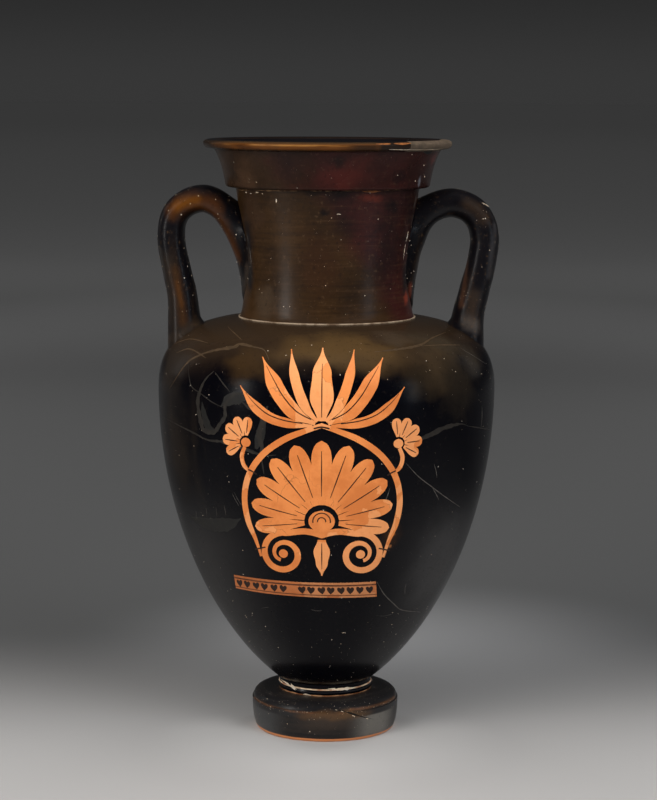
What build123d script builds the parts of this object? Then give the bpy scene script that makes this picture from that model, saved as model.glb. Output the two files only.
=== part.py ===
from build123d import *

import os
from math import acos, atan2, cos, degrees, radians, sin

# A two-handled neck amphora of black-gloss pottery, as a potter builds it:
# thrown sections that seat in one another, turned rings over the joins, and
# two pulled handles coped to the neck and the shoulder.
# Millimetres and degrees. Z is the wheel's axis, and the floor is at Z 0.

# Joints between the pieces
slip_gap = 0.1  # layer of slip in every round socket
plug_shoulder = 6.3  # step round the plug under the body, which ring and foot hold
plug_depth = 3.0  # how far the plug enters the foot
seam_bevel = 6.0  # height of the bevelled seam round the belly
neck_seat_depth = 2.5  # rebate in the shoulder that holds the neck
mouth_socket_depth = 4.0  # socket in the mouth that takes the neck

# Foot
foot_height = 27.1  # floor to the seat under the ring
foot_radius = 49.9
foot_dome_rise = 5.8  # top edge to the seat
foot_dome_start = 34.0  # rise of the dome at the top edge, in degrees
foot_dome_pull = 6.0
foot_edge_round = 1.8
foot_side_pull = 9.0
foot_base_pull = 4.5
foot_base_lean = 60.0  # lean of the side where it leaves the floor
foot_rest_inset = 3.3  # top edge to the outside of the flat that meets the floor
foot_rest_width = 9.0
foot_hollow = 11.0  # depth of the hollow underside
foot_hollow_side = 8.0  # straight rise of the hollow's side
foot_hollow_dome = 19.0

# Ring between foot and body
ring_height = 4.9
ring_overhang = 0.2  # beyond the body's base
ring_bulge = 0.7

# Body
body_height = 249.3  # ring to the foot of the neck
base_radius = 31.3
base_stem = 2.6
base_angle = 37.0  # rise of the wall where it leaves the stem
base_pull = 54.2
belly_radius = 113.2
belly_rise = 202.4  # ring to the widest point
belly_lower_pull = 89.4
belly_upper_pull = 19.4
shoulder_slope = 4.8  # fall of the shoulder where it leaves the neck
shoulder_pull = 48.1
body_wall = 5.5
floor_thickness = 9.5  # under the hollow of the body, plug included

# Neck
neck_height = 87.0
neck_base_radius = 58.5
neck_base_flare = 26.0
neck_base_pull = 13.0
neck_top_radius = 61.5
neck_top_flare = 9.0
neck_top_pull = 28.7
neck_wall = 6.5
neck_ring_round = 1.5  # radius of the thin ring in the corner at the neck's foot

# Mouth
mouth_height = 31.7
mouth_step = 6.0  # beyond the top of the neck
mouth_base_round = 2.2
mouth_flare_bottom = 14.0  # lean of the outside just above its base
mouth_flare_top = 30.0  # lean of the outside just under the lip
mouth_flare_pull = 8.0
lip_spread = 14.7  # beyond the base of the mouth
lip_round = 3.0
lip_under_angle = -60.0  # where the roll of the lip ends below
lip_height = 7.8
lip_undercut = 6.4  # how far the lip stands out from the mouth's wall
lip_width = 8.4
mouth_inner_lean = 50.0  # rise of the inside where it meets the lip
mouth_inner_pull = 10.0

# Plaster fill that replaces a lost stretch of the lip
fill_angle = 58.0
fill_start = -50.0  # from +X, towards the front
fill_height = 7.0

# Handles: sizes shared by both, then what differs between the two
handle_breadth = 27.0
handle_breadth_flare = 0.42  # growth of the breadth at both roots
handle_neck_flare = 0.12  # growth of the thickness at the upper root
handle_shoulder_flare = 0.4  # growth of the thickness at the lower root
handle_flare_power = 4  # how quickly that growth dies out along the handle
handle_stations = 17  # sections along one handle
handle_leg_bend = 8.7  # neck's foot up to the bend of the outer leg
handle_root_depth = 24.0  # neck's foot down to the buried end of the lower root
left_handle_sizes = {
    "thickness": 18.4,
    "arch_radius": 23.0,
    "arch_inset": 2.8,  # halfway from the neck's top to the belly, in to the centre of the arch
    "arch_drop": 32.1,  # mouth's underside to the centre of the arch
    "neck_depth": 19.2,  # neck's foot radius in to the buried end of the upper root
    "neck_drop": 68.3,  # mouth's underside to that end
    "bend_inset": 16.2,  # belly's radius to the bend of the outer leg
    "root_inset": 18.4,  # belly's radius to the buried end of the lower root
}
right_handle_sizes = {
    "thickness": 19.2,
    "arch_radius": 22.8,
    "arch_inset": 5.5,
    "arch_drop": 32.8,
    "neck_depth": 19.0,
    "neck_drop": 100.0,
    "bend_inset": 16.8,
    "root_inset": 18.9,
}

# Heights and radii that follow from the stack of pieces
plug_radius = base_radius - plug_shoulder
ring_radius = base_radius + ring_overhang
mouth_base_radius = neck_top_radius + mouth_step
lip_radius = mouth_base_radius + lip_spread
ring_top = foot_height + ring_height
shoulder_top = ring_top + body_height
belly_z = ring_top + belly_rise
mouth_base = shoulder_top + neck_height
rim = mouth_base + mouth_height


def spot(radius, height):
    return Vector(radius, 0, height)


def lean(length, angle):
    """A step of that length, angle above the horizontal, outwards."""
    return Vector(length * cos(radians(angle)), 0, length * sin(radians(angle)))


def run(*points):
    return Polyline(*points)


def turned(*edges):
    """The solid that the closed half section turns into on the wheel."""
    return revolve(make_face(edges), Axis.Z)


def crossing(a, a_way, b, b_way):
    """Where two lines in the half section meet."""
    gap = b - a
    share = (gap.X * b_way.Z - gap.Z * b_way.X) / (a_way.X * b_way.Z - a_way.Z * b_way.X)
    return a + a_way * share


def inset(points, distance):
    """Control points of a curve moved to its left by a distance, leg by leg."""
    legs = [(b - a).normalized() for a, b in zip(points, points[1:])]
    sides = [Vector(-leg.Z, 0, leg.X) * distance for leg in legs]
    moved = [points[0] + sides[0]]
    for i in range(1, len(legs)):
        moved.append(crossing(points[i] + sides[i - 1], legs[i - 1], points[i] + sides[i], legs[i]))
    moved.append(points[-1] + sides[-1])
    return moved


def lower_outline():
    start = spot(base_radius, ring_top + base_stem)
    belly = spot(belly_radius, belly_z)
    return [start, start + lean(base_pull, base_angle), belly + lean(belly_lower_pull, -90), belly]


def upper_outline():
    belly = spot(belly_radius, belly_z)
    top = spot(neck_base_radius, shoulder_top)
    return [belly, belly + lean(belly_upper_pull, 90), top + lean(shoulder_pull, -shoulder_slope), top]


def neck_outline():
    foot = spot(neck_base_radius, shoulder_top)
    top = spot(neck_top_radius, mouth_base)
    return [
        foot,
        foot + lean(neck_base_pull, 90 + neck_base_flare),
        top + lean(neck_top_pull, -90 - neck_top_flare),
        top,
    ]


def foot_solid():
    rest_radius = foot_radius - foot_rest_inset
    rest_inner = rest_radius - foot_rest_width
    edge_height = foot_height - foot_dome_rise
    edge_low = spot(foot_radius, edge_height - foot_edge_round)
    edge_centre = edge_low - spot(foot_edge_round, 0)
    edge_high = edge_centre + spot(0, foot_edge_round)
    seat = spot(ring_radius, foot_height)
    socket = plug_radius + slip_gap
    socket_floor = foot_height - plug_depth
    rest = spot(rest_radius, 0)
    hollow = spot(0, foot_hollow)
    return turned(
        Bezier(
            rest,
            rest + lean(foot_base_pull, foot_base_lean),
            edge_low - spot(0, foot_side_pull),
            edge_low,
        ),
        ThreePointArc(edge_low, edge_centre + lean(foot_edge_round, 45), edge_high),
        Bezier(
            edge_high,
            edge_high - lean(foot_dome_pull, -foot_dome_start),
            seat + spot(foot_dome_pull, 0),
            seat,
        ),
        run(
            seat,
            spot(socket, foot_height),
            spot(socket, socket_floor),
            spot(0, socket_floor),
            hollow,
        ),
        Bezier(
            hollow,
            hollow + spot(foot_hollow_dome, 0),
            spot(rest_inner, foot_hollow_side),
            spot(rest_inner, 0),
        ),
        run(spot(rest_inner, 0), rest),
    )


def ring_solid():
    bore = plug_radius + slip_gap
    low = spot(ring_radius, foot_height)
    high = spot(ring_radius, ring_top)
    middle = spot(ring_radius + ring_bulge, (foot_height + ring_top) / 2)
    return turned(
        run(high, spot(bore, ring_top), spot(bore, foot_height), low),
        ThreePointArc(low, middle, high),
    )


def body_section():
    """Half section of the whole body wall, from the plug to the neck's seat."""
    lower, upper = lower_outline(), upper_outline()
    lower_in, upper_in = inset(lower, body_wall), inset(upper, body_wall)
    plug_base = foot_height - plug_depth + slip_gap
    floor = plug_base + floor_thickness
    neck_bore = neck_base_radius - neck_wall
    seat = shoulder_top - neck_seat_depth
    floor_corner = crossing(lower_in[0], lean(1, base_angle), spot(0, floor), spot(1, 0))
    return make_face(
        [
            run(
                spot(0, floor),
                spot(0, plug_base),
                spot(plug_radius, plug_base),
                spot(plug_radius, ring_top),
                spot(base_radius, ring_top),
                lower[0],
            ),
            Bezier(*lower),
            Bezier(*upper),
            run(
                upper[-1],
                spot(neck_base_radius, seat),
                spot(neck_bore, seat),
                spot(neck_bore, upper_in[-1].Z),
                upper_in[-1],
            ),
            Bezier(*reversed(upper_in)),
            Bezier(*reversed(lower_in)),
            Bezier(lower_in[0], floor_corner, spot(floor_corner.X / 2, floor), spot(0, floor)),
        ]
    )


def below_the_seam():
    """Everything under the bevelled seam, which rises inwards through the wall."""
    outer = belly_radius + body_wall
    inner = belly_radius - 2 * body_wall
    fall = seam_bevel / body_wall * (outer - inner)
    high = belly_z + seam_bevel / body_wall * (belly_radius - body_wall / 2 - inner)
    return make_face(
        run(
            spot(0, 0),
            spot(outer, 0),
            spot(outer, high - fall),
            spot(inner, high),
            spot(0, high),
            spot(0, 0),
        )
    )


def neck_section():
    outline = neck_outline()
    inner = inset(outline, neck_wall)
    foot = shoulder_top - neck_seat_depth
    head = mouth_base + mouth_socket_depth
    edge = neck_base_radius - slip_gap
    bore = neck_base_radius - neck_wall
    inner[0] = spot(bore, shoulder_top)
    inner[-1] = spot(neck_top_radius - neck_wall, mouth_base)
    return make_face(
        [
            Bezier(*outline),
            run(
                outline[-1],
                spot(neck_top_radius, head),
                spot(inner[-1].X, head),
                inner[-1],
            ),
            Bezier(*reversed(inner)),
            run(
                inner[0],
                spot(bore, foot),
                spot(edge, foot),
                spot(edge, shoulder_top),
                outline[0],
            ),
        ]
    )


def neck_ring_solid():
    """A round bead in the corner, shaped by the neck and the shoulder that it sits on."""
    bead = Plane.XZ * Pos(neck_base_radius, shoulder_top) * Circle(neck_ring_round)
    return revolve(bead - jar_section(), Axis.Z)


def mouth_solid():
    socket = neck_top_radius + slip_gap
    socket_floor = mouth_base + mouth_socket_depth
    bore = spot(neck_top_radius - neck_wall, socket_floor)
    under_out = spot(mouth_base_radius - mouth_base_round, mouth_base)
    round_centre = under_out + spot(0, mouth_base_round)
    wall_low = round_centre + spot(mouth_base_round, 0)
    wall_high = spot(lip_radius - lip_undercut, rim - lip_height)
    lip_centre = spot(lip_radius - lip_round, rim - lip_round)
    lip_under = lip_centre + lean(lip_round, lip_under_angle)
    lip_top = lip_centre + spot(0, lip_round)
    lip_inner = spot(lip_radius - lip_width, rim - lip_round)
    return turned(
        run(
            bore,
            spot(socket, socket_floor),
            spot(socket, mouth_base),
            under_out,
        ),
        ThreePointArc(under_out, round_centre + lean(mouth_base_round, -45), wall_low),
        Bezier(
            wall_low,
            wall_low + lean(mouth_flare_pull, 90 - mouth_flare_bottom),
            wall_high - lean(mouth_flare_pull, 90 - mouth_flare_top),
            wall_high,
        ),
        run(wall_high, lip_under),
        ThreePointArc(lip_under, lip_centre + spot(lip_round, 0), lip_top),
        Bezier(
            lip_top,
            spot((lip_top.X + lip_inner.X) / 2, rim),
            lip_inner + lean(lip_round / 2, mouth_inner_lean),
            lip_inner,
        ),
        Bezier(
            lip_inner,
            lip_inner - lean(mouth_inner_pull, mouth_inner_lean),
            bore + spot(0, mouth_inner_pull),
            bore,
        ),
    )


def fill_wedge():
    """The space of the lost stretch of lip."""
    inner = lip_radius - lip_width - lip_round
    low = rim - fill_height
    block = make_face(
        run(
            spot(inner, low),
            spot(lip_radius + lip_round, low),
            spot(lip_radius + lip_round, rim + lip_round),
            spot(inner, rim + lip_round),
            spot(inner, low),
        )
    )
    return Rot(0, 0, fill_start) * revolve(block, Axis.Z, revolution_arc=fill_angle)


def touch_angle(point, centre, radius, side):
    """Where a line from the point touches a circle, as the angle on that circle."""
    way = point - centre
    return degrees(atan2(way.Z, way.X) + side * acos(radius / way.length))


def handle_path(sizes):
    """Straight up from the neck, over a round arch, and down a bent leg to the shoulder."""
    arch_radius = sizes["arch_radius"]
    halfway = (neck_top_radius + belly_radius) / 2
    centre = spot(halfway - sizes["arch_inset"], mouth_base - sizes["arch_drop"])
    neck_end = spot(neck_base_radius - sizes["neck_depth"], mouth_base - sizes["neck_drop"])
    bend = spot(belly_radius - sizes["bend_inset"], shoulder_top + handle_leg_bend)
    root_end = spot(belly_radius - sizes["root_inset"], shoulder_top - handle_root_depth)
    arch_start = centre + lean(arch_radius, touch_angle(neck_end, centre, arch_radius, -1))
    arch_end = centre + lean(arch_radius, touch_angle(bend, centre, arch_radius, 1))
    return Wire(
        [
            Line(neck_end, arch_start),
            ThreePointArc(arch_start, centre + spot(0, arch_radius), arch_end),
            Bezier(arch_end, bend, root_end),
        ]
    )


def handle_blank(sizes):
    """One handle before coping, on the +X side: oval sections along its path."""
    path = handle_path(sizes)
    sections = []
    for i in range(handle_stations):
        t = i / (handle_stations - 1)
        near_root = abs(2 * t - 1) ** handle_flare_power
        thickness_flare = handle_neck_flare if 2 * t < 1 else handle_shoulder_flare
        breadth = handle_breadth * (1 + handle_breadth_flare * near_root)
        thickness = sizes["thickness"] * (1 + thickness_flare * near_root)
        plane = Plane(path @ t, x_dir=(0, 1, 0), z_dir=path % t)
        sections.append(plane * Ellipse(breadth / 2, thickness / 2))
    return loft(sections)


def jar_section():
    """Half section of body and neck filled solid, which ring and handles are shaped to."""
    lower, upper, neck = lower_outline(), upper_outline(), neck_outline()
    return make_face(
        [
            run(spot(0, mouth_base), spot(0, ring_top), spot(base_radius, ring_top), lower[0]),
            Bezier(*lower),
            Bezier(*upper),
            Bezier(*neck),
            run(neck[-1], spot(0, mouth_base)),
        ]
    )


def main():
    body = body_section()
    under_seam = below_the_seam()
    envelope = revolve(jar_section(), Axis.Z)
    whole_mouth = mouth_solid()
    wedge = fill_wedge()
    pieces = {
        "foot": foot_solid(),
        "foot_ring": ring_solid(),
        "lower_body": revolve(body & under_seam, Axis.Z),
        "shoulder": revolve(body - under_seam, Axis.Z),
        "neck_ring": neck_ring_solid(),
        "neck": revolve(neck_section(), Axis.Z),
        "mouth": whole_mouth - wedge,
        "lip_fill": whole_mouth & wedge,
        "left_handle": Rot(0, 0, 180) * handle_blank(left_handle_sizes) - envelope,
        "right_handle": handle_blank(right_handle_sizes) - envelope,
    }
    os.makedirs("parts", exist_ok=True)
    for name, piece in pieces.items():
        export_step(piece, f"parts/{name}.step")


main()
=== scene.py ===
from math import cos, pi, radians, sin, sqrt

import bpy
from mathutils import Matrix, Vector, kdtree, noise
from mathutils.bvhtree import BVHTree


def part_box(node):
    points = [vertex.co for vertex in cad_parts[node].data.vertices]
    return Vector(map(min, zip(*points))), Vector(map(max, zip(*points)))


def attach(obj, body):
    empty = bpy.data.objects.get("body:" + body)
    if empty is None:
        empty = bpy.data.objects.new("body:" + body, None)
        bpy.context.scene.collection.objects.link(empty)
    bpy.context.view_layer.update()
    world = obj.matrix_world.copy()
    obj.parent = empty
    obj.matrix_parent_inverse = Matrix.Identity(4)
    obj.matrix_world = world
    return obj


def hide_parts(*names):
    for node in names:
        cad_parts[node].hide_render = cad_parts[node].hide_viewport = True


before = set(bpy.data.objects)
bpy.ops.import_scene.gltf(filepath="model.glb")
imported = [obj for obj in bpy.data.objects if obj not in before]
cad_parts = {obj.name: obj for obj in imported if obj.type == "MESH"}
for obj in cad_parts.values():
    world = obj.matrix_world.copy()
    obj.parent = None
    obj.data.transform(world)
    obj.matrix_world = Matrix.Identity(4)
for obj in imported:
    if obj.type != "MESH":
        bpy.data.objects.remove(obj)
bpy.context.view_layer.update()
mm = 0.001
print("frame loaded")


# Camera

cameraSetup = {
    "distance": 1.5657,  # in front of the jar's axis
    "height": 0.4326,
    "pitch": 7.57,
    "roll": 0.28,
    "focalPixels": 2336.1,
    "picture": (657, 800),
    "sideStep": 2.0,  # pixels that the jar's axis stands left of the picture's middle
    "sensor": 36.0,
    "clip": (0.05, 300.0),
}


def setCamera():
    data = bpy.data.cameras.new("photoCamera")
    longSide = max(cameraSetup["picture"])
    data.sensor_width = cameraSetup["sensor"]
    data.lens = cameraSetup["focalPixels"] / longSide * cameraSetup["sensor"]
    data.shift_x = cameraSetup["sideStep"] / longSide
    data.clip_start, data.clip_end = cameraSetup["clip"]
    camera = bpy.data.objects.new("photoCamera", data)
    bpy.context.collection.objects.link(camera)
    turn = Matrix.Rotation(radians(90 - cameraSetup["pitch"]), 4, "X")
    turn = turn @ Matrix.Rotation(radians(cameraSetup["roll"]), 4, "Z")
    camera.matrix_world = Matrix.Translation((0, -cameraSetup["distance"], cameraSetup["height"])) @ turn
    bpy.context.scene.camera = camera
    return camera.matrix_world.copy()


cameraPlace = setCamera()
cameraSpot = cameraPlace.translation.copy()


def sightLine(pixel):
    # direction from the camera through a pixel of the photograph
    wide, tall = cameraSetup["picture"]
    across = pixel[0] - wide / 2 + cameraSetup["sideStep"]
    up = tall / 2 - pixel[1]
    return (cameraPlace.to_3x3() @ Vector((across, up, -cameraSetup["focalPixels"]))).normalized()


# Node helpers for materials and geometry

def colour(red, green, blue):
    # screen values 0 to 255 as linear colour
    def linear(value):
        share = value / 255
        return share / 12.92 if share <= 0.04045 else ((share + 0.055) / 1.055) ** 2.4
    return (linear(red), linear(green), linear(blue), 1)


class Wire:
    # the output of a node, which can be added, taken away, multiplied and divided
    def __init__(self, socket):
        self.socket = socket
        self.tree = socket.id_data

    def __add__(self, other):
        return calc("ADD", self, other)

    def __radd__(self, other):
        return calc("ADD", other, self)

    def __sub__(self, other):
        return calc("SUBTRACT", self, other)

    def __rsub__(self, other):
        return calc("SUBTRACT", other, self)

    def __mul__(self, other):
        return calc("MULTIPLY", self, other)

    def __truediv__(self, other):
        return calc("DIVIDE", self, other)


def feed(socket, value):
    if isinstance(value, Wire):
        value.tree.links.new(value.socket, socket)
    else:
        socket.default_value = value


def put(tree, kind, values=None, **settings):
    node = tree.nodes.new(kind)
    for key, value in settings.items():
        setattr(node, key, value)
    for key, value in (values or {}).items():
        feed(node.inputs[key], value)
    return node


def wire(tree, kind, values=None, output=0, **settings):
    return Wire(put(tree, kind, values, **settings).outputs[output])


def treeOf(*values):
    return next(value.tree for value in values if isinstance(value, Wire))


def calc(operation, first, second=0.0):
    return wire(treeOf(first, second), "ShaderNodeMath", {0: first, 1: second}, operation=operation)


def vectorCalc(operation, first, second=(0, 0, 0)):
    output = "Value" if operation in ("LENGTH", "DISTANCE", "DOT_PRODUCT") else "Vector"
    return wire(treeOf(first, second), "ShaderNodeVectorMath", {0: first, 1: second}, output,
        operation=operation)


def scaled(vector, factor):
    return wire(treeOf(vector, factor), "ShaderNodeVectorMath", {0: vector, "Scale": factor},
        operation="SCALE")


def joinXyz(x, y, z):
    return wire(treeOf(x, y, z), "ShaderNodeCombineXYZ", {0: x, 1: y, 2: z})


def splitXyz(vector):
    return [Wire(socket) for socket in put(vector.tree, "ShaderNodeSeparateXYZ", {0: vector}).outputs]


def fade(value, start, end):
    # 0 at start and 1 at end, eased
    rising = float(end > start)
    limits = {"From Min": min(start, end), "From Max": max(start, end), "To Min": 1 - rising,
        "To Max": rising}
    return wire(value.tree, "ShaderNodeMapRange", {"Value": value, **limits}, interpolation_type="SMOOTHSTEP")


def hump(value, start, full, fullEnd, end):
    return fade(value, start, full) * fade(value, end, fullEnd)


def tint(share, first, second):
    return wire(share.tree, "ShaderNodeMix", {0: share, 6: first, 7: second}, 2, data_type="RGBA")


def cloud(place, scale, detail=4.0, rough=0.55, stretch=(1, 1, 1)):
    values = {"Vector": vectorCalc("MULTIPLY", place, stretch), "Scale": scale, "Detail": detail,
        "Roughness": rough}
    return wire(place.tree, "ShaderNodeTexNoise", values)


def finishNamed(name):
    material = bpy.data.materials.get(name) or bpy.data.materials.new(name)
    material.use_nodes = True
    return material


class Finish:
    # a plain material, with the places that its patterns use
    def __init__(self, name):
        self.material = finishNamed(name)
        self.tree = self.material.node_tree
        self.place = wire(self.tree, "ShaderNodeTexCoord", output="Object")
        self.x, self.y, self.z = splitXyz(self.place)
        self.angle = calc("ARCTAN2", self.x, self.y * -1.0)  # 0 at the front, plus to the right
        self.radius = vectorCalc("LENGTH", joinXyz(self.x, self.y, 0.0))

    def give(self, name, value):
        feed(self.tree.nodes["Principled BSDF"].inputs[name], value)

    def coat(self, tone, rough, gloss):
        for name, value in (("Base Color", tone), ("Roughness", rough), ("Specular IOR Level", gloss)):
            self.give(name, value)

    def roughen(self, strength, depth, height):
        values = {"Strength": strength, "Distance": depth, "Height": height}
        self.give("Normal", wire(self.tree, "ShaderNodeBump", values))


wheelLines = {"around": 1.5, "lines": 900.0, "grain": 700.0, "grainShare": 0.3, "depth": 0.12 * mm}


def wheelBump(it, strength=0.25):
    # fine turning lines and grain
    ringPlace = joinXyz(it.angle * wheelLines["around"], 0.0, it.z * wheelLines["lines"])
    rings = wire(it.tree, "ShaderNodeTexNoise", {"Vector": ringPlace, "Scale": 1.0, "Detail": 3.0})
    grain = cloud(it.place, wheelLines["grain"], 2.0)
    height = rings * (1 - wheelLines["grainShare"]) + grain * wheelLines["grainShare"]
    it.roughen(strength, wheelLines["depth"], height)


def newTree(name, inputs):
    tree = bpy.data.node_groups.new(name, "GeometryNodeTree")
    for label, kind in {"Geometry": "Geometry", **inputs, "Material": "Material"}.items():
        tree.interface.new_socket(label, in_out="INPUT", socket_type="NodeSocket" + kind)
    tree.interface.new_socket("Geometry", in_out="OUTPUT", socket_type="NodeSocketGeometry")
    return tree, {socket.name: Wire(socket) for socket in put(tree, "NodeGroupInput").outputs}


def closeTree(geometry, material):
    whole = wire(geometry.tree, "GeometryNodeRealizeInstances", {"Geometry": geometry})
    covered = wire(geometry.tree, "GeometryNodeSetMaterial", {"Geometry": whole, "Material": material})
    put(geometry.tree, "NodeGroupOutput", {0: covered})


def bakeModifiers(piece):
    # the evaluated shape as the piece's own mesh
    graph = bpy.context.evaluated_depsgraph_get()
    mesh = bpy.data.meshes.new_from_object(piece.evaluated_get(graph))
    piece.modifiers.clear()
    piece.data = mesh
    return piece


def grow(piece, tree, values):
    # runs a node tree on a piece and keeps the result as its mesh
    modifier = piece.modifiers.new("nodes", "NODES")
    modifier.node_group = tree
    for item in tree.interface.items_tree:
        if item.in_out == "INPUT" and item.name in values:
            modifier[item.identifier] = values[item.name]
    return bakeModifiers(piece)


def addPiece(name, data):
    piece = bpy.data.objects.new(name, data)
    bpy.context.collection.objects.link(piece)
    return piece


def discard(*pieces):
    for piece in pieces:
        bpy.data.objects.remove(piece, do_unlink=True)


# Shapes turned on the wheel

def bezier(a, b, c, d, count):
    points = []
    for i in range(count + 1):
        t = i / count
        s = 1 - t
        weights = (s ** 3, 3 * s * s * t, 3 * s * t * t, t ** 3)
        points.append(tuple(sum(w * p[k] for w, p in zip(weights, (a, b, c, d))) for k in (0, 1)))
    return points


def stepped(point, length, angle):
    return (point[0] + length * cos(radians(angle)), point[1] + length * sin(radians(angle)))


def oval(centre, across, upright, start, end, count):
    angles = [radians(start + (end - start) * i / (count - 1)) for i in range(count)]
    return [(centre[0] + across * cos(angle), centre[1] + upright * sin(angle)) for angle in angles]


def arc(centre, radius, start, end, count):
    return [stepped(centre, radius, start + (end - start) * i / count) for i in range(count + 1)]


def offsetCurve(points, distance):
    # the same curve moved to its left
    moved = []
    for i, point in enumerate(points):
        before = points[max(i - 1, 0)]
        after = points[min(i + 1, len(points) - 1)]
        dx, dz = after[0] - before[0], after[1] - before[1]
        length = sqrt(dx * dx + dz * dz)
        moved.append((point[0] - dz / length * distance, point[1] + dx / length * distance))
    return moved


def meshObject(name, verts, faces, sharp=38.0):
    mesh = bpy.data.meshes.new(name)
    mesh.from_pydata(verts, [], faces)
    mesh.validate()
    mesh.shade_smooth()
    mesh.set_sharp_from_angle(angle=radians(sharp))
    return addPiece(name, mesh)


def settle(piece, finish, slotName, *nodes):
    # finish and the CAD nodes that the piece stands for, on the root body; slotName is not used
    piece.data.materials.clear()
    piece.data.materials.append(finish)
    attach(piece, "root")
    if nodes:
        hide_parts(*nodes)
    return piece


wheel = {
    "segments": 288,
    "swell": 0.9 * mm,  # slow and quick unevenness of a wall, and their scales
    "slow": 8.0,
    "ripple": 0.22 * mm,
    "quick": 27.0,
    "steady": 30.0 * mm,  # radius within which the swell dies away
    "weld": 0.01 * mm,
    "sharp": 38.0,
}


def makeWheelTree():
    # turns a half section round the axis, with the slight swell of a hand-thrown wall
    tree, given = newTree("turnedOnWheel",
        {"Segments": "Int", "Swell": "Float", "Ripple": "Float", "Steady": "Float"})
    place = wire(tree, "GeometryNodeInputPosition")
    rows = wire(tree, "GeometryNodeAttributeDomainSize", {0: given["Geometry"]}, "Point Count")
    columns = given["Segments"] + 1.0
    grid = wire(tree, "GeometryNodeMeshGrid", {"Vertices X": rows, "Vertices Y": columns})
    index = wire(tree, "GeometryNodeInputIndex")
    row = calc("FLOOR", (index + 0.5) / columns)
    turn = index - row * columns
    values = {"Geometry": given["Geometry"], "Value": place, "Index": row}
    section = wire(tree, "GeometryNodeSampleIndex", values, data_type="FLOAT_VECTOR")
    radius, height = splitXyz(section)[::2]
    angle = turn * (-2 * pi) / given["Segments"]
    across = radius * calc("SINE", angle)
    depth = radius * (calc("COSINE", angle) * -1.0)
    turned = wire(tree, "GeometryNodeSetPosition",
        {"Geometry": grid, "Position": joinXyz(across, depth, height)})
    slow = cloud(place, wheel["slow"], 0.0) - 0.5
    quick = cloud(place, wheel["quick"], 0.0) - 0.5
    swell = slow * given["Swell"] + quick * given["Ripple"]
    outward = vectorCalc("MULTIPLY", place, (1, 1, 0))
    swell = swell * calc("MINIMUM", 1.0, vectorCalc("LENGTH", outward) / given["Steady"])
    offset = scaled(vectorCalc("NORMALIZE", outward), swell)
    swollen = wire(tree, "GeometryNodeSetPosition", {"Geometry": turned, "Offset": offset})
    welded = wire(tree, "GeometryNodeMergeByDistance", {"Geometry": swollen, "Distance": wheel["weld"]})
    closeTree(wire(tree, "GeometryNodeSetShadeSmooth", {"Geometry": welded}), given["Material"])
    return tree


turnedOnWheel = makeWheelTree()


def turnOnWheel(name, profile, finishName, closed=True):
    # profile: a half section, in metres, that runs anticlockwise round the material
    points = list(profile)
    if closed and points[0][0] > 0:
        points.append(points[0])
    mesh = bpy.data.meshes.new(name)
    edges = [(i, i + 1) for i in range(len(points) - 1)]
    mesh.from_pydata([(radius, 0, height) for radius, height in points], edges, [])
    sizes = {label: wheel[label.lower()] for label in ("Segments", "Swell", "Ripple", "Steady")}
    piece = grow(addPiece(name, mesh), turnedOnWheel, {**sizes, "Material": finishNamed(finishName)})
    piece.data.set_sharp_from_angle(angle=radians(wheel["sharp"]))
    return piece


jar = {
    "footTop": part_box("foot")[1][2],
    "ringTop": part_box("foot_ring")[1][2],
    "seamOuter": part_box("shoulder")[0][2],
    "seamInner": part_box("lower_body")[1][2],
    "shoulderTop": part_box("shoulder")[1][2],
    "mouthBase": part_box("mouth")[0][2],
    "rim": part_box("mouth")[1][2],
    "bellyRadius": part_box("shoulder")[1][0],
    "lipRadius": -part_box("mouth")[0][0],
}

foot = {
    "radius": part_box("foot")[1][0],
    "domeRise": 6.1 * mm,
    "domeStart": 84.0,
    "domePull": 4.3 * mm,
    "domeFlat": 38.0 * mm,  # radius from which the top is level
    "domeFlatPull": 7.4 * mm,
    "edgeRound": 0.7 * mm,
    "sidePull": 9.0 * mm,
    "basePull": 4.5 * mm,
    "baseLean": 60.0,
    "restInset": 3.3 * mm,
    "restWidth": 9.0 * mm,
    "restRound": 0.4 * mm,
    "restRise": 0.3 * mm,
    "hollow": 11.0 * mm,
    "hollowSide": 8.0 * mm,
    "hollowDome": 19.0 * mm,
    "socket": 25.1 * mm,
    "socketDepth": 3.0 * mm,
    "seat": 31.5 * mm,
}


def makeFoot():
    restOut = foot["radius"] - foot["restInset"]
    restIn = restOut - foot["restWidth"]
    edgeLow = (foot["radius"], jar["footTop"] - foot["domeRise"] - foot["edgeRound"])
    edgeMiddle = (foot["radius"] - foot["edgeRound"], edgeLow[1])
    edgeHigh = (edgeMiddle[0], edgeMiddle[1] + foot["edgeRound"])
    rest = (restOut, 0)
    dome = (foot["hollowDome"], foot["hollow"])
    profile = bezier((0, foot["hollow"]), dome, (restIn, foot["hollowSide"]), (restIn, 0), 16)
    profile += [(restOut - foot["restRound"], 0), (restOut, foot["restRise"])]
    fromRest = stepped(rest, foot["basePull"], foot["baseLean"])
    profile += bezier(rest, fromRest, (edgeLow[0], edgeLow[1] - foot["sidePull"]), edgeLow, 18)[1:]
    profile += arc(edgeMiddle, foot["edgeRound"], 0, 90, 8)[1:]
    level = (foot["domeFlat"], jar["footTop"])
    fromEdge = stepped(edgeHigh, foot["domePull"], 180 - foot["domeStart"])
    profile += bezier(edgeHigh, fromEdge, (level[0] + foot["domeFlatPull"], level[1]), level, 18)[1:]
    floor = jar["footTop"] - foot["socketDepth"]
    profile += [(foot["seat"], jar["footTop"]), (foot["socket"], jar["footTop"]), (foot["socket"], floor),
        (0, floor)]
    return turnOnWheel("diskFoot", profile, "footGloss")


ring = {"radius": 31.5 * mm, "bulge": 0.7 * mm, "bore": 25.1 * mm}


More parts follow.
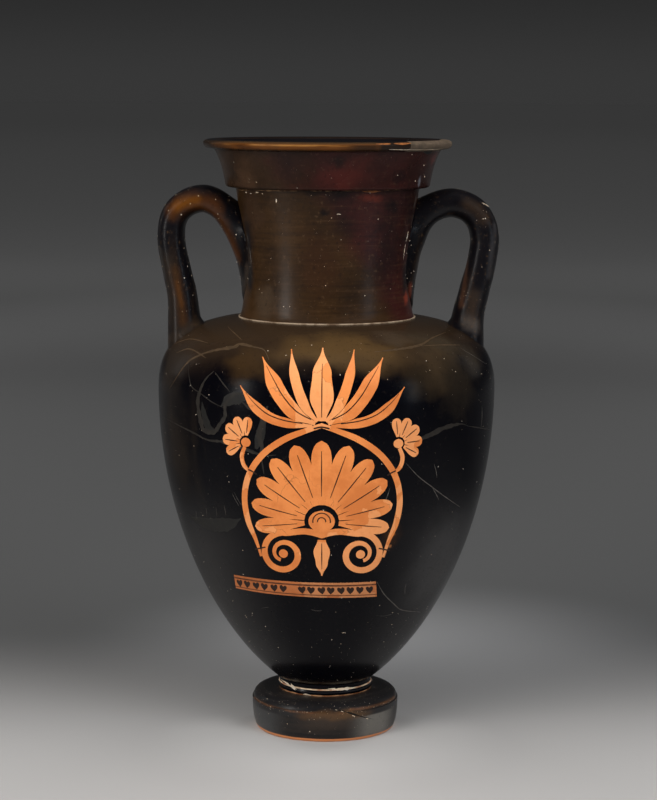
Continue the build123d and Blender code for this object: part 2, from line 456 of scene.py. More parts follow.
def makeFootRing():
    low, high = jar["footTop"], jar["ringTop"]
    middle = (low + high) / 2
    half = (high - low) / 2
    profile = [(ring["bore"], high), (ring["bore"], low)]
    for i in range(13):
        share = i / 6 - 1
        profile.append((ring["radius"] + ring["bulge"] * (1 - share * share), middle + half * share))
    return turnOnWheel("footRing", profile, "ringGloss")


body = {
    "baseRadius": 31.3 * mm,
    "stem": 2.6 * mm,
    "baseAngle": 37.0,
    "basePull": 54.2 * mm,
    "bellyHeight": 234.4 * mm,
    "bellyLowerPull": 89.4 * mm,
    "bellyUpperPull": 19.4 * mm,
    "shoulderSlope": 4.8,
    "shoulderPull": 48.1 * mm,
    "wall": 5.5 * mm,
    "plug": 25.0 * mm,
    "plugDepth": 2.9 * mm,
    "floor": 9.5 * mm,
    "floorRound": 1.5 * mm,
    "neckSeat": 2.5 * mm,
}

neck = {
    "baseRadius": 58.5 * mm,
    "baseFlare": 26.0,
    "basePull": 13.0 * mm,
    "topRadius": 61.5 * mm,
    "topFlare": 9.0,
    "topPull": 28.7 * mm,
    "wall": 6.5 * mm,
    "spigot": 4.0 * mm,
    "slipGap": 0.1 * mm,
}


def bodyOutline():
    start = (body["baseRadius"], jar["ringTop"] + body["stem"])
    belly = (jar["bellyRadius"], body["bellyHeight"])
    top = (neck["baseRadius"], jar["shoulderTop"])
    fromStart = stepped(start, body["basePull"], body["baseAngle"])
    toTop = stepped(top, body["shoulderPull"], -body["shoulderSlope"])
    lower = bezier(start, fromStart, stepped(belly, body["bellyLowerPull"], -90), belly, 130)
    upper = bezier(belly, stepped(belly, body["bellyUpperPull"], 90), toTop, top, 64)
    return lower + upper[1:]


def cutAtHeight(points, height):
    # splits a rising curve at a height
    for i, (low, high) in enumerate(zip(points, points[1:])):
        if low[1] <= height < high[1]:
            def at(z):
                share = (z - low[1]) / (high[1] - low[1])
                return (low[0] + (high[0] - low[0]) * share, z)
            return points[:i + 1] + [at(height)], [at(height)] + points[i + 1:]
    raise ValueError("height is off the curve")


outline = bodyOutline()
innerOutline = offsetCurve(outline, body["wall"])


def makeLowerBody():
    outer = cutAtHeight(outline, jar["seamOuter"])[0]
    inner = cutAtHeight(innerOutline, jar["seamInner"])[0]
    plugBase = jar["footTop"] - body["plugDepth"]
    floor = plugBase + body["floor"]
    profile = [(0, plugBase), (body["plug"], plugBase), (body["plug"], jar["ringTop"])]
    profile += [(body["baseRadius"], jar["ringTop"])] + outer
    profile += [point for point in reversed(inner) if point[1] > floor + body["floorRound"]]
    radius, rise = profile[-1][0], profile[-1][1] - floor
    profile += [(radius * share, floor + rise * share ** 3) for share in (0.8, 0.6, 0.4, 0.2)]
    profile += [(0, floor)]
    return turnOnWheel("lowerBody", profile, "bodyGloss")


def makeShoulder():
    outer = cutAtHeight(outline, jar["seamOuter"])[1]
    inner = cutAtHeight(innerOutline, jar["seamInner"])[1]
    seat = jar["shoulderTop"] - body["neckSeat"]
    bore = neck["baseRadius"] - neck["wall"]
    profile = list(outer)
    profile += [(neck["baseRadius"], seat), (bore, seat), (bore, inner[-1][1])]
    profile += list(reversed(inner))
    return turnOnWheel("shoulderWall", profile, "bodyGloss")


def neckOutline():
    base = (neck["baseRadius"], jar["shoulderTop"])
    top = (neck["topRadius"], jar["mouthBase"])
    fromBase = stepped(base, neck["basePull"], 90 + neck["baseFlare"])
    return bezier(base, fromBase, stepped(top, neck["topPull"], -90 - neck["topFlare"]), top, 60)


def makeNeck():
    curve = neckOutline()
    inner = offsetCurve(curve, neck["wall"])
    tenon = neck["baseRadius"] - neck["slipGap"]
    bore = neck["baseRadius"] - neck["wall"]
    seat = jar["shoulderTop"] - body["neckSeat"]
    head = jar["mouthBase"] + neck["spigot"]
    profile = [(bore, seat), (tenon, seat)] + curve
    profile += [(neck["topRadius"], head), (neck["topRadius"] - neck["wall"], head)]
    profile += list(reversed(inner[3:-1]))
    return turnOnWheel("neckWall", profile, "neckGloss")


neckRing = {"round": 0.62 * mm, "rise": 0.2 * mm, "out": 0.2 * mm}


def makeNeckRing():
    centre = (neck["baseRadius"] + neckRing["out"], jar["shoulderTop"] + neckRing["rise"])
    return turnOnWheel("neckRing", arc(centre, neckRing["round"], -180, 162, 19), "creamLine")


mouth = {
    "step": 7.0 * mm,
    "baseRound": 2.2 * mm,
    "flareBottom": 9.0,
    "flareTop": 30.0,
    "flarePull": 8.0 * mm,
    "lipSpread": 0.7 * mm,
    "lipDrop": 2.4 * mm,  # from the rim down to the widest line of the lip
    "lipShelf": 5.6 * mm,
    "lipDepth": 3.5 * mm,
    "lipUnder": 2.8 * mm,
    "lipHeight": 6.9 * mm,
    "lipUndercut": 6.6 * mm,
    "lipWidth": 8.4 * mm,
    "innerLean": 50.0,
    "innerPull": 10.0 * mm,
    "fillAngles": (-50.0, 8.0),  # stretch of lip that is plaster, from +X
    "fillHeight": 7.0 * mm,
    "fillRagged": 0.7 * mm,
    "fillGrain": 9.0,
    "fillSteps": 44,
}


def mouthProfile():
    socketTop = jar["mouthBase"] + neck["spigot"]
    bore = (neck["topRadius"] - neck["wall"], socketTop)
    socket = neck["topRadius"] + neck["slipGap"]
    wallLow = (neck["topRadius"] + mouth["step"], jar["mouthBase"] + mouth["baseRound"])
    wallHigh = (jar["lipRadius"] - mouth["lipUndercut"], jar["rim"] - mouth["lipHeight"])
    lipTip = (jar["lipRadius"] + mouth["lipSpread"], jar["rim"] - mouth["lipDrop"])
    lipIn = (jar["lipRadius"] - mouth["lipWidth"], jar["rim"] - mouth["lipDrop"])
    profile = [bore, (socket, socketTop), (socket, jar["mouthBase"])]
    profile += arc((wallLow[0] - mouth["baseRound"], wallLow[1]), mouth["baseRound"], -90, 0, 8)
    fromWall = stepped(wallLow, mouth["flarePull"], 90 - mouth["flareBottom"])
    toWall = stepped(wallHigh, -mouth["flarePull"], 90 - mouth["flareTop"])
    profile += bezier(wallLow, fromWall, toWall, wallHigh, 22)[1:]
    underCentre = (lipTip[0] - mouth["lipUnder"], lipTip[1])
    shelfCentre = (lipTip[0] - mouth["lipShelf"], lipTip[1])
    profile += oval(underCentre, mouth["lipUnder"], mouth["lipDepth"], -90, 0, 10)
    profile += oval(shelfCentre, mouth["lipShelf"], mouth["lipDrop"], 0, 90, 14)[1:]
    lipTop = profile[-1]
    toInside = stepped(lipIn, mouth["lipDrop"] / 2, mouth["innerLean"])
    profile += bezier(lipTop, stepped(lipTop, -mouth["lipDrop"] / 2, 0), toInside, lipIn, 8)[1:]
    fromInside = stepped(lipIn, -mouth["innerPull"], mouth["innerLean"])
    profile += bezier(lipIn, fromInside, (bore[0], bore[1] + mouth["innerPull"]), bore, 20)[1:-1]
    return profile


def makeFillBlock():
    start, end = (radians(angle) for angle in mouth["fillAngles"])
    inner = jar["lipRadius"] - mouth["lipWidth"] - mouth["lipDrop"]
    outer = jar["lipRadius"] + mouth["lipDrop"]
    steps = mouth["fillSteps"]
    verts, faces = [], []
    for i in range(steps + 1):
        angle = start + (end - start) * i / steps
        ragged = noise.noise(Vector((angle * mouth["fillGrain"], 2.0, 0))) * mouth["fillRagged"]
        low = jar["rim"] - mouth["fillHeight"] + ragged
        high = jar["rim"] + mouth["lipDrop"]
        for radius, height in ((inner, low), (outer, low), (outer, high), (inner, high)):
            verts.append((radius * cos(angle), radius * sin(angle), height))
    for i in range(steps):
        a, b = 4 * i, 4 * i + 4
        for k in range(4):
            n = (k + 1) % 4
            faces.append((a + k, b + k, b + n, a + n))
    faces.append((0, 1, 2, 3))
    faces.append(tuple(4 * steps + k for k in (3, 2, 1, 0)))
    return meshObject("fillBlock", verts, faces)


def cutWith(piece, tool, operation):
    cutter = piece.modifiers.new("cut", "BOOLEAN")
    cutter.object = tool
    cutter.operation = operation
    cutter.solver = "EXACT"
    return bakeModifiers(piece)


def makeMouth():
    block = makeFillBlock()
    whole = turnOnWheel("mouthWall", mouthProfile(), "mouthGloss")
    fill = addPiece("lipFill", whole.data.copy())
    cutWith(whole, block, "DIFFERENCE")
    cutWith(fill, block, "INTERSECT")
    discard(block)
    for piece in (whole, fill):
        piece.data.shade_smooth()
        piece.data.set_sharp_from_angle(angle=radians(wheel["sharp"]))
    return whole, fill


# Handles

handles = {
    "breadth": 27.0 * mm,
    "breadthFlare": 0.42,
    "neckFlare": 0.12,
    "flarePower": 4,
    "rootBulge": 0.5,  # broadening of the root on the neck
    "edgePower": 3,  # how close to its edges the root runs into the neck
    "rootHeight": 319.0 * mm,
    "rootReach": 37.0 * mm,
    "tailTop": 308.0 * mm,  # below it the root runs out in a tongue
    "tailLength": 22.0 * mm,
    "tailTaper": 0.7,
    "tailThin": 0.1,
    "rootFillet": 3.0 * mm,
    "neckFillet": 1.4 * mm,
    "filletReach": 6.0 * mm,
    "buried": 2.0 * mm,
    "rows": 150,
    "around": 48,
    "squareness": 2.3,
    "waver": 0.3 * mm,
    "waverScale": 60.0,
    "sharp": 60.0,
    "left": {
        "thickness": 18.4 * mm,
        "shoulderFlare": 0.85,  # only towards the neck: the outside runs straight down
        "path": ((45.6, 280), (46.0, 292), (46.9, 303), (49.2, 313), (52.2, 322.5), (55.8, 331.6),
            (60.5, 341.3), (67, 351), (74, 357), (82.5, 360), (91.5, 358.2), (99, 353), (103.3, 345.5),
            (104.6, 336), (103.8, 326), (101.8, 316), (100.0, 306.5), (98.5, 299), (97.8, 291), (97.6, 280),
            (97.8, 260)),
    },
    "right": {
        "thickness": 19.2 * mm,
        "shoulderFlare": 0.6,
        "path": ((44, 270), (46.6, 284), (47.6, 297), (52.4, 322.7), (55.6, 332.7), (61.5, 346), (70, 354.3),
            (82.3, 358), (94.5, 354.6), (102.3, 346), (105.3, 334), (104.3, 323), (102.4, 312), (100.2, 303),
            (98.3, 294), (96.6, 286), (95.9, 277), (96, 260)),
    },
}


def smoothPath(points, count):
    # evenly stepped points of a curve through given points
    fine = []
    for i in range(len(points) - 1):
        a = points[max(i - 1, 0)]
        b, c = points[i], points[i + 1]
        d = points[min(i + 2, len(points) - 1)]
        for k in range(24):
            t = k / 24
            fine.append(b + 0.5 * t * ((c - a) + t * (2 * a - 5 * b + 4 * c - d + t * (3 * (b - c) + d - a))))
    fine.append(points[-1])
    lengths = [0.0]
    for a, b in zip(fine, fine[1:]):
        lengths.append(lengths[-1] + (b - a).length)
    result, k = [], 0
    for i in range(count):
        goal = lengths[-1] * i / (count - 1)
        while k < len(fine) - 2 and lengths[k + 1] < goal:
            k += 1
        share = (goal - lengths[k]) / max(lengths[k + 1] - lengths[k], 1e-12)
        result.append(fine[k].lerp(fine[k + 1], min(share, 1.0)))
    return result


wallCurve = outline + neckOutline()[1:]
wallTree = kdtree.KDTree(len(wallCurve))
for number, point in enumerate(wallCurve):
    wallTree.insert((point[0], point[1], 0), number)
wallTree.balance()


def wallDepth(point):
    # distance out from the jar's wall and the wall's outward direction there
    reach = sqrt(point.x ** 2 + point.y ** 2)
    spot, number = wallTree.find((reach, point.z, 0))[:2]
    before = wallCurve[max(number - 1, 0)]
    after = wallCurve[min(number + 1, len(wallCurve) - 1)]
    way = Vector((after[1] - before[1], 0, before[0] - after[0])).normalized()
    depth = (reach - spot[0]) * way.x + (point.z - spot[1]) * way.z
    return depth, Vector((way.x * point.x / reach, way.x * point.y / reach, way.z))


def makeHandle(name, side, sizes):
    path = [Vector((side * radius * mm, 0, height * mm)) for radius, height in sizes["path"]]
    rows = smoothPath(path, handles["rows"])
    verts, faces = [], []
    around = handles["around"]
    for i, middle in enumerate(rows):
        t = i / (len(rows) - 1)
        along = (rows[min(i + 1, len(rows) - 1)] - rows[max(i - 1, 0)]).normalized()
        level = Vector((0, 1, 0))
        out = level.cross(along)
        nearRoot = abs(2 * t - 1) ** handles["flarePower"]
        flare = handles["neckFlare"] if t < 0.5 else sizes["shoulderFlare"]
        breadth = handles["breadth"] / 2
        thick = sizes["thickness"] / 2
        fillet = handles["neckFillet"] if t < 0.5 else handles["rootFillet"]
        bulge, tail = 0.0, 0.0
        if t < 0.5:
            bulge = max(0.0, 1 - ((middle.z - handles["rootHeight"]) / handles["rootReach"]) ** 2) ** 2
            tail = min(1.0, max(0.0, (handles["tailTop"] - middle.z) / handles["tailLength"])) ** 2
            breadth *= 1 + handles["rootBulge"] * bulge - handles["tailTaper"] * tail
            thick *= 1 - handles["tailThin"] * tail
        else:
            breadth *= 1 + handles["breadthFlare"] * nearRoot
        for k in range(around):
            angle = 2 * pi * k / around
            power = 2 / handles["squareness"]
            across = abs(cos(angle)) ** power * (1 if cos(angle) > 0 else -1)
            up = abs(sin(angle)) ** power * (1 if sin(angle) > 0 else -1)
            outside = t > 0.5 and up * side < 0
            spoke = level * breadth * across + out * thick * (1 if outside else 1 + flare * nearRoot) * up
            point = middle + spoke
            depth = wallDepth(point)[0]
            if depth > -handles["filletReach"] and not outside:
                share = max(0.0, 1 - abs(depth) / handles["filletReach"])
                point = point + spoke.normalized() * fillet * share * share
            point = point + spoke.normalized() * noise.noise(point * handles["waverScale"]) * handles["waver"]
            depth, way = wallDepth(point)
            if depth > 0:
                point = point - way * depth * max(bulge, tail) * abs(across) ** handles["edgePower"]
            if depth < -handles["buried"]:
                point = point - way * (depth + handles["buried"])
            verts.append(point)
    for i in range(len(rows) - 1):
        for k in range(around):
            n = (k + 1) % around
            faces.append((i * around + k, i * around + n, (i + 1) * around + n, (i + 1) * around + k))
    faces.append(tuple(range(around - 1, -1, -1)))
    last = (len(rows) - 1) * around
    faces.append(tuple(range(last, last + around)))
    return meshObject(name, verts, faces, handles["sharp"])


mouthPiece, fillPiece = makeMouth()
solidPieces = {
    "foot": makeFoot(),
    "foot_ring": makeFootRing(),
    "lower_body": makeLowerBody(),
    "shoulder": makeShoulder(),
    "neck": makeNeck(),
    "neck_ring": makeNeckRing(),
    "mouth": mouthPiece,
    "lip_fill": fillPiece,
    "left_handle": makeHandle("leftHandle", -1, handles["left"]),
    "right_handle": makeHandle("rightHandle", 1, handles["right"]),
}
print("pieces shaped")


# Surface that the camera sees, for marks that are placed by pixel

def joinedTree(pieces):
    verts, faces = [], []
    for piece in pieces:
        start = len(verts)
        verts += [vertex.co for vertex in piece.data.vertices]
        faces += [[start + index for index in face.vertices] for face in piece.data.polygons]
    return BVHTree.FromPolygons(verts, faces)


surfaceTree = joinedTree(solidPieces.values())


def seenAt(pixel):
    return surfaceTree.ray_cast(cameraSpot, sightLine(pixel))[0]


# Finishes

tones = {
    "black": colour(2, 2, 6),
    "blackSoft": colour(12, 11, 14),
    "cream": colour(206, 182, 152),
    "pale": colour(204, 194, 180),
}


def shaken(it, size, ragged):
    # the place, pushed about so that a mark's edge is uneven
    values = {"Vector": it.place, "Scale": 1.3 / size, "Detail": 4.0}
    shake = vectorCalc("SUBTRACT", wire(it.tree, "ShaderNodeTexNoise", values, "Color"), (0.5, 0.5, 0.5))
    return vectorCalc("ADD", it.place, scaled(shake, size * ragged))


def patchMask(it, pixel, size, stretch, ragged):
    # a soft patch round the point seen at a pixel
    away = vectorCalc("SUBTRACT", shaken(it, size, ragged), tuple(seenAt(pixel)))
    away = vectorCalc("LENGTH", vectorCalc("MULTIPLY", away, stretch))
    return fade(away, size, size * 0.15)


def strokeMask(it, pixels, size, ragged):
    # a soft stroke along the points seen at a line of pixels
    points = [spot for spot in map(seenAt, pixels) if spot]
    place = shaken(it, size, ragged)
    nearest = None
    for start, end in zip(points, points[1:]):
        span = end - start
        away = vectorCalc("SUBTRACT", place, tuple(start))
        along = vectorCalc("DOT_PRODUCT", away, tuple(span / span.length_squared))
        along = wire(it.tree, "ShaderNodeClamp", {"Value": along})
        gap = vectorCalc("DISTANCE", away, scaled(tuple(span), along))
        nearest = gap if nearest is None else calc("MINIMUM", nearest, gap)
    return fade(nearest, size, 0.0)


def addPatches(it, tone, patches, ragged=1.2):
    for pixel, size, patchTone, strength, stretch in patches.values():
        mask = patchMask(it, pixel, size * mm, stretch, ragged)
        tone = tint(mask * strength, tone, colour(*patchTone))
    return tone


def addStrokes(it, tone, strokes, ragged=0.5):
    for pixels, size, strokeTone, strength in strokes.values():
        mask = strokeMask(it, pixels, size * mm, ragged)
        tone = tint(mask * strength, tone, colour(*strokeTone))
    return tone


speckle = {"grain": (420.0, 3.0, 0.6), "light": (0.58, 0.76), "dark": (0.44, 0.28)}


def addSpeckle(it, tone, light, dark, strength):
    # fine grains in the slip, some paler and some darker
    grain = cloud(it.place, *speckle["grain"])
    tone = tint(fade(grain, *speckle["light"]) * strength, tone, light)
    return tint(fade(grain, *speckle["dark"]) * strength, tone, dark)


slip = {"wear": (26.0, 5.0), "wearShare": 0.12}


def finishGloss(it, tone, gloss, rough=0.17):
    it.coat(tone, rough + cloud(it.place, *slip["wear"]) * slip["wearShare"], gloss)
    wheelBump(it)


bodyMarks = {
    "gloss": 0.10,
    "patch": (15.0, 6.0, 0.6),  # scale, detail, roughness and stretch of a noise
    "streaks": (60.0, 3.0, 0.5, (1, 1, 0.12)),
    "brown": colour(47, 35, 24),
    "brownHeight": (0.262, 0.290),  # the black turns brown between these
    "brownLate": 0.006,  # rise of that border at the angles below
    "brownLateTurn": (0.2, 0.8, 1.8, 2.8),
    "streak": colour(44, 36, 28),
    "streakTurn": (-1.5, -1.25, -0.8, -0.5),
    "streakHeight": (0.13, 0.17, 0.22, 0.26),
    # painted sheen: a lighter grey on the lower sides, standing in for the gloss's reflection of the floor
    "paintedSideSheen": colour(43, 42, 42),
    "paintedSideSheenTurn": (0.2, 1.1),
    "paintedSideSheenHeight": (0.03, 0.07, 0.13, 0.185),
    # painted sheen: lighter grey patches on the back, standing in for highlights there
    "paintedBackSheen": colour(38, 35, 33),
    "paintedBackSheenTurn": (1.55, 2.3),
    "paintedBackSheenHeight": (0.03, 0.09, 0.20, 0.27),
    "patches": {
        # topGlow is the shoulder's brown slip with a painted reflection of the overhead light on it
        "topGlow": ((335, 353), 46, (84, 63, 36), 0.75, (0.75, 1, 2.4)),
        "frontBrown": ((250, 362), 22, (56, 40, 22), 0.8, (0.9, 1, 1.5)),
        "rightTop": ((440, 345), 24, (56, 47, 36), 0.8, (0.8, 1, 1.6)),
        "rightCorner": ((471, 358), 20, (48, 41, 33), 0.75, (1, 1, 1)),
        "rightNear": ((392, 337), 16, (64, 52, 40), 0.7, (0.8, 1, 1.6)),
        "rightMiddle": ((424, 378), 22, (46, 37, 26), 0.6, (0.8, 1, 1.2)),
        "rightBrown": ((434, 362), 26, (60, 47, 32), 0.8, (0.9, 1, 1.1)),
        "leftEdge": ((173, 366), 26, (44, 37, 31), 0.7, (1, 0.8, 0.8)),
        "leftVeil": ((176, 445), 34, (33, 27, 22), 0.75, (1.4, 1, 0.7)),
        # the next patch is painted sheen, a lighter grey low on the right side
        "rightPaintedSheen": ((440, 562), 40, (64, 63, 63), 0.55, (1, 1, 0.8)),
        "rightVeil": ((458, 384), 30, (38, 32, 25), 0.75, (1.1, 1, 0.9)),
        "spotGlow": ((391, 537), 11, (50, 31, 18), 0.7, (1, 1, 0.8)),
        "spot": ((392, 534), 3.2, (158, 92, 44), 0.9, (1, 1, 1)),
        "spotLow": ((390, 546), 1.8, (150, 96, 56), 0.9, (1, 1, 1)),
    },
}


def makeBodyGloss():
    it = Finish("bodyGloss")
    patch = cloud(it.place, *bodyMarks["patch"])
    streak = cloud(it.place, *bodyMarks["streaks"])
    tone = tint(patch * 0.5, tones["black"], tones["blackSoft"])
    upper = it.z + patch * 0.03 - hump(it.angle, *bodyMarks["brownLateTurn"]) * bodyMarks["brownLate"]
    tone = tint(fade(upper, *bodyMarks["brownHeight"]), tone, bodyMarks["brown"])
    side = hump(it.angle, *bodyMarks["streakTurn"]) * hump(it.z, *bodyMarks["streakHeight"])
    tone = tint(side * fade(streak, 0.5, 0.75) * 0.3, tone, bodyMarks["streak"])
    around = calc("ABSOLUTE", it.angle)
    # painted sheen on the lower sides
    paintedSheen = fade(around, *bodyMarks["paintedSideSheenTurn"]) * hump(it.z, *bodyMarks["paintedSideSheenHeight"])
    tone = tint(paintedSheen, tone, bodyMarks["paintedSideSheen"])
    # painted sheen on the back
    back = fade(around, *bodyMarks["paintedBackSheenTurn"]) * hump(it.z, *bodyMarks["paintedBackSheenHeight"])
    tone = tint(back * fade(patch, 0.25, 0.6), tone, bodyMarks["paintedBackSheen"])
    tone = addPatches(it, tone, bodyMarks["patches"])
    tone = addSpeckle(it, tone, colour(40, 34, 28), tones["black"], 0.3)
    finishGloss(it, tone, bodyMarks["gloss"])
    return it.material


neckMarks = {
    "gloss": 0.26,
    "patch": (20.0, 6.0, 0.6),  # scale, detail, roughness and stretch of a noise
    "rings": (420.0, 3.0, 0.6, (0.05, 0.05, 1)),
    "waist": (0.0552, 0.318, 2.6),  # radius and height of the narrowest place, and how fast it widens
    "browns": (colour(36, 24, 14), colour(58, 39, 20)),
    "reds": (colour(30, 17, 17), colour(56, 25, 22)),
    "redBorder": (0.3615, 12.6),  # height where the border crosses the front, and its lean
    "redEdge": (-0.3, 0.15),
    "redEnd": (2.2, 1.7),
    "darkRings": colour(24, 17, 14),
    "paleRings": colour(74, 52, 34),
    "insides": (tones["blackSoft"], colour(34, 26, 21)),
    "insideEdge": (-0.0025, -0.004),
    "patches": {
        # the next patch is a painted highlight, lighter olive low on the neck's left
        "paintedSheenLow": ((264, 303), 17, (70, 56, 43), 0.75, (1, 1, 1)),
        "leftEdge": ((252, 215), 16, (58, 41, 29), 0.7, (1, 1, 0.6)),
        "orangeMiddle": ((318, 262), 20, (48, 28, 17), 0.6, (1, 1, 0.6)),
        "darkStep": ((339, 194), 9, (18, 13, 13), 0.75, (0.8, 1, 1.2)),
        "darkStepLeft": ((312, 193), 6, (22, 16, 14), 0.7, (0.8, 1, 1.4)),
        "darkMiddle": ((324, 213), 4.5, (16, 12, 12), 0.9, (1, 1, 1.2)),
        "darkBorder": ((345, 222), 12, (24, 16, 15), 0.6, (1, 1, 0.8)),
        "darkRight": ((393, 206), 8, (18, 12, 13), 0.8, (1, 1, 1)),
        "darkRightLow": ((384, 245), 7, (22, 15, 16), 0.6, (1, 1, 0.8)),
        # the next five patches are painted shade on the neck beside the handle roots
        "leftRoot": ((249, 240), 10, (16, 15, 18), 0.85, (1, 1, 0.45)),
        "leftRootLow": ((250, 276), 8, (34, 30, 30), 0.7, (1, 1, 0.5)),
        "rightRoot": ((408, 268), 7, (18, 14, 17), 0.7, (1, 1, 0.5)),
        "leftRootShadeDark": ((250, 277), 6, (15, 14, 17), 0.85, (1, 1, 0.45)),
        "rightRootShadeDark": ((404.6, 280), 6, (15, 11, 13), 0.85, (1, 1, 0.4)),
        "redLow": ((406, 298), 6, (128, 50, 30), 0.8, (1, 1, 1)),
        "redTop": ((372, 197), 9, (96, 40, 28), 0.6, (0.6, 1, 2)),
    },
}


def makeNeckGloss():
    it = Finish("neckGloss")
    patch = cloud(it.place, *neckMarks["patch"])
    rings = cloud(it.place, *neckMarks["rings"])
    cloudy = fade(patch, 0.3, 0.7)
    tone = tint(cloudy, *neckMarks["browns"])
    crossing, lean = neckMarks["redBorder"]
    border = it.angle - (crossing - it.z) * lean + (patch - 0.5) * 0.7
    red = fade(border, *neckMarks["redEdge"]) * fade(it.angle, *neckMarks["redEnd"])
    tone = tint(red, tone, tint(cloudy, *neckMarks["reds"]))
    tone = tint(fade(rings, 0.5, 0.72) * 0.4, tone, neckMarks["darkRings"])
    tone = tint(fade(rings, 0.46, 0.3) * 0.3, tone, neckMarks["paleRings"])
    tone = addPatches(it, tone, neckMarks["patches"])
    tone = addSpeckle(it, tone, colour(84, 64, 46), colour(18, 14, 13), 0.45)
    waist, waistHeight, widening = neckMarks["waist"]
    rise = it.z - waistHeight
    inside = fade(it.radius - (waist + rise * rise * widening), *neckMarks["insideEdge"])
    tone = tint(inside, tone, tint(cloudy, *neckMarks["insides"]))
    finishGloss(it, tone, neckMarks["gloss"], 0.25)
    return it.material


mouthMarks = {
    "gloss": 0.13,
    "patch": (24.0, 6.0, 0.6),  # scale, detail, roughness and stretch of a noise
    "gaps": (60.0, 3.0),
    "drawnLines": (130.0, 3.0, 0.55, (0.2, 0.2, 1)),
    "wallFoot": (0.0675, 0.370, 0.38),  # radius, height and slope of the outer wall
    "browns": (colour(31, 22, 15), colour(49, 34, 23)),
    "reds": (colour(33, 17, 15), colour(54, 25, 22)),
    "redEdge": (-0.55, 0.0),
    "redEnd": (2.2, 1.7),
    "lip": colour(34, 25, 19),
    "lipRadius": (0.0770, 0.0779),
    "lipHeight": (0.3930, 0.3939),
    "golden": colour(62, 44, 27),  # left part of the lip
    "goldenTurn": (-1.25, -0.7, 0.36, 0.44),
    "bright": colour(100, 58, 22),
    "brightHeight": (0.3938, 0.3952, 0.3976, 0.3990),
    "drawn": colour(58, 33, 16),
    "dull": colour(40, 28, 19),
    "dullTurn": (0.06, 0.26),
    "dullHeight": (0.3984, 0.3974),
    # the next three entries are a painted highlight line along the lip's left part
    "fine": colour(150, 106, 56),
    "paintedHighlightTurn": (0.2, 0.04),
    "paintedHighlightHeight": (0.3966, 0.3971, 0.3976, 0.3981),
    "insideEdge": (-0.002, -0.004),
    "insideHeight": (0.3992, 0.3997),
    "patches": {
        "oliveLeft": ((246, 176), 17, (66, 47, 33), 0.85, (1, 1, 1)),
        "plumMiddle": ((286, 165), 14, (34, 22, 20), 0.8, (1, 1, 0.8)),
        "redMiddle": ((345, 177), 15, (66, 27, 23), 0.75, (0.7, 1, 1.2)),
        "darkSpot": ((339, 161), 7, (22, 14, 14), 0.75, (1, 1, 1)),
        "redHigh": ((365, 160), 10, (66, 28, 23), 0.5, (0.8, 1, 1.2)),
        "darkRight": ((400, 178), 9, (22, 15, 16), 0.7, (0.7, 1, 1.4)),
        "redRight": ((434, 158), 8, (82, 31, 26), 0.8, (1, 1, 1)),
        # the next patch is a painted glint, pale grey near the mouth's right edge
        "paintedGlintRight": ((419.4, 181.5), 2.6, (104, 104, 110), 0.8, (1, 1, 0.5)),
    },
}


def makeMouthGloss():
    it = Finish("mouthGloss")
    patch = cloud(it.place, *mouthMarks["patch"])
    cloudy = fade(patch, 0.3, 0.7)
    tone = tint(cloudy, *mouthMarks["browns"])
    border = it.angle + (patch - 0.5) * 1.2
    red = fade(border, *mouthMarks["redEdge"]) * fade(it.angle, *mouthMarks["redEnd"])
    tone = tint(red, tone, tint(cloudy, *mouthMarks["reds"]))
    tone = addPatches(it, tone, mouthMarks["patches"])
    tone = addSpeckle(it, tone, colour(80, 58, 44), colour(18, 13, 13), 0.4)
    lip = fade(it.radius, *mouthMarks["lipRadius"]) * fade(it.z, *mouthMarks["lipHeight"])
    tone = tint(lip, tone, mouthMarks["lip"])
    golden = lip * hump(it.angle, *mouthMarks["goldenTurn"])
    tone = tint(golden, tone, mouthMarks["golden"])
    unbroken = fade(cloud(it.place, *mouthMarks["gaps"]), 0.15, 0.5)
    bright = golden * hump(it.z, *mouthMarks["brightHeight"]) * unbroken
    tone = tint(bright * 0.9, tone, mouthMarks["bright"])
    drawn = cloud(it.place, *mouthMarks["drawnLines"])
    tone = tint(bright * fade(drawn, 0.52, 0.68), tone, mouthMarks["drawn"])
    dull = fade(it.angle, *mouthMarks["dullTurn"]) * fade(it.z, *mouthMarks["dullHeight"])
    tone = tint(golden * dull * 0.85, tone, mouthMarks["dull"])
    # painted highlight line along the lip
    fine = golden * hump(it.z, *mouthMarks["paintedHighlightHeight"]) * fade(it.angle, *mouthMarks["paintedHighlightTurn"])
    tone = tint(fine * fade(drawn, 0.58, 0.44) * 0.8, tone, mouthMarks["fine"])
    wallRadius, wallHeight, wallSlope = mouthMarks["wallFoot"]
    wall = wallRadius + (it.z - wallHeight) * wallSlope
    inside = fade(it.radius - wall, *mouthMarks["insideEdge"])
    inside = calc("MAXIMUM", inside, fade(it.z, *mouthMarks["insideHeight"]))
    tone = tint(inside, tone, tones["blackSoft"])
    finishGloss(it, tone, mouthMarks["gloss"], 0.2)
    return it.material


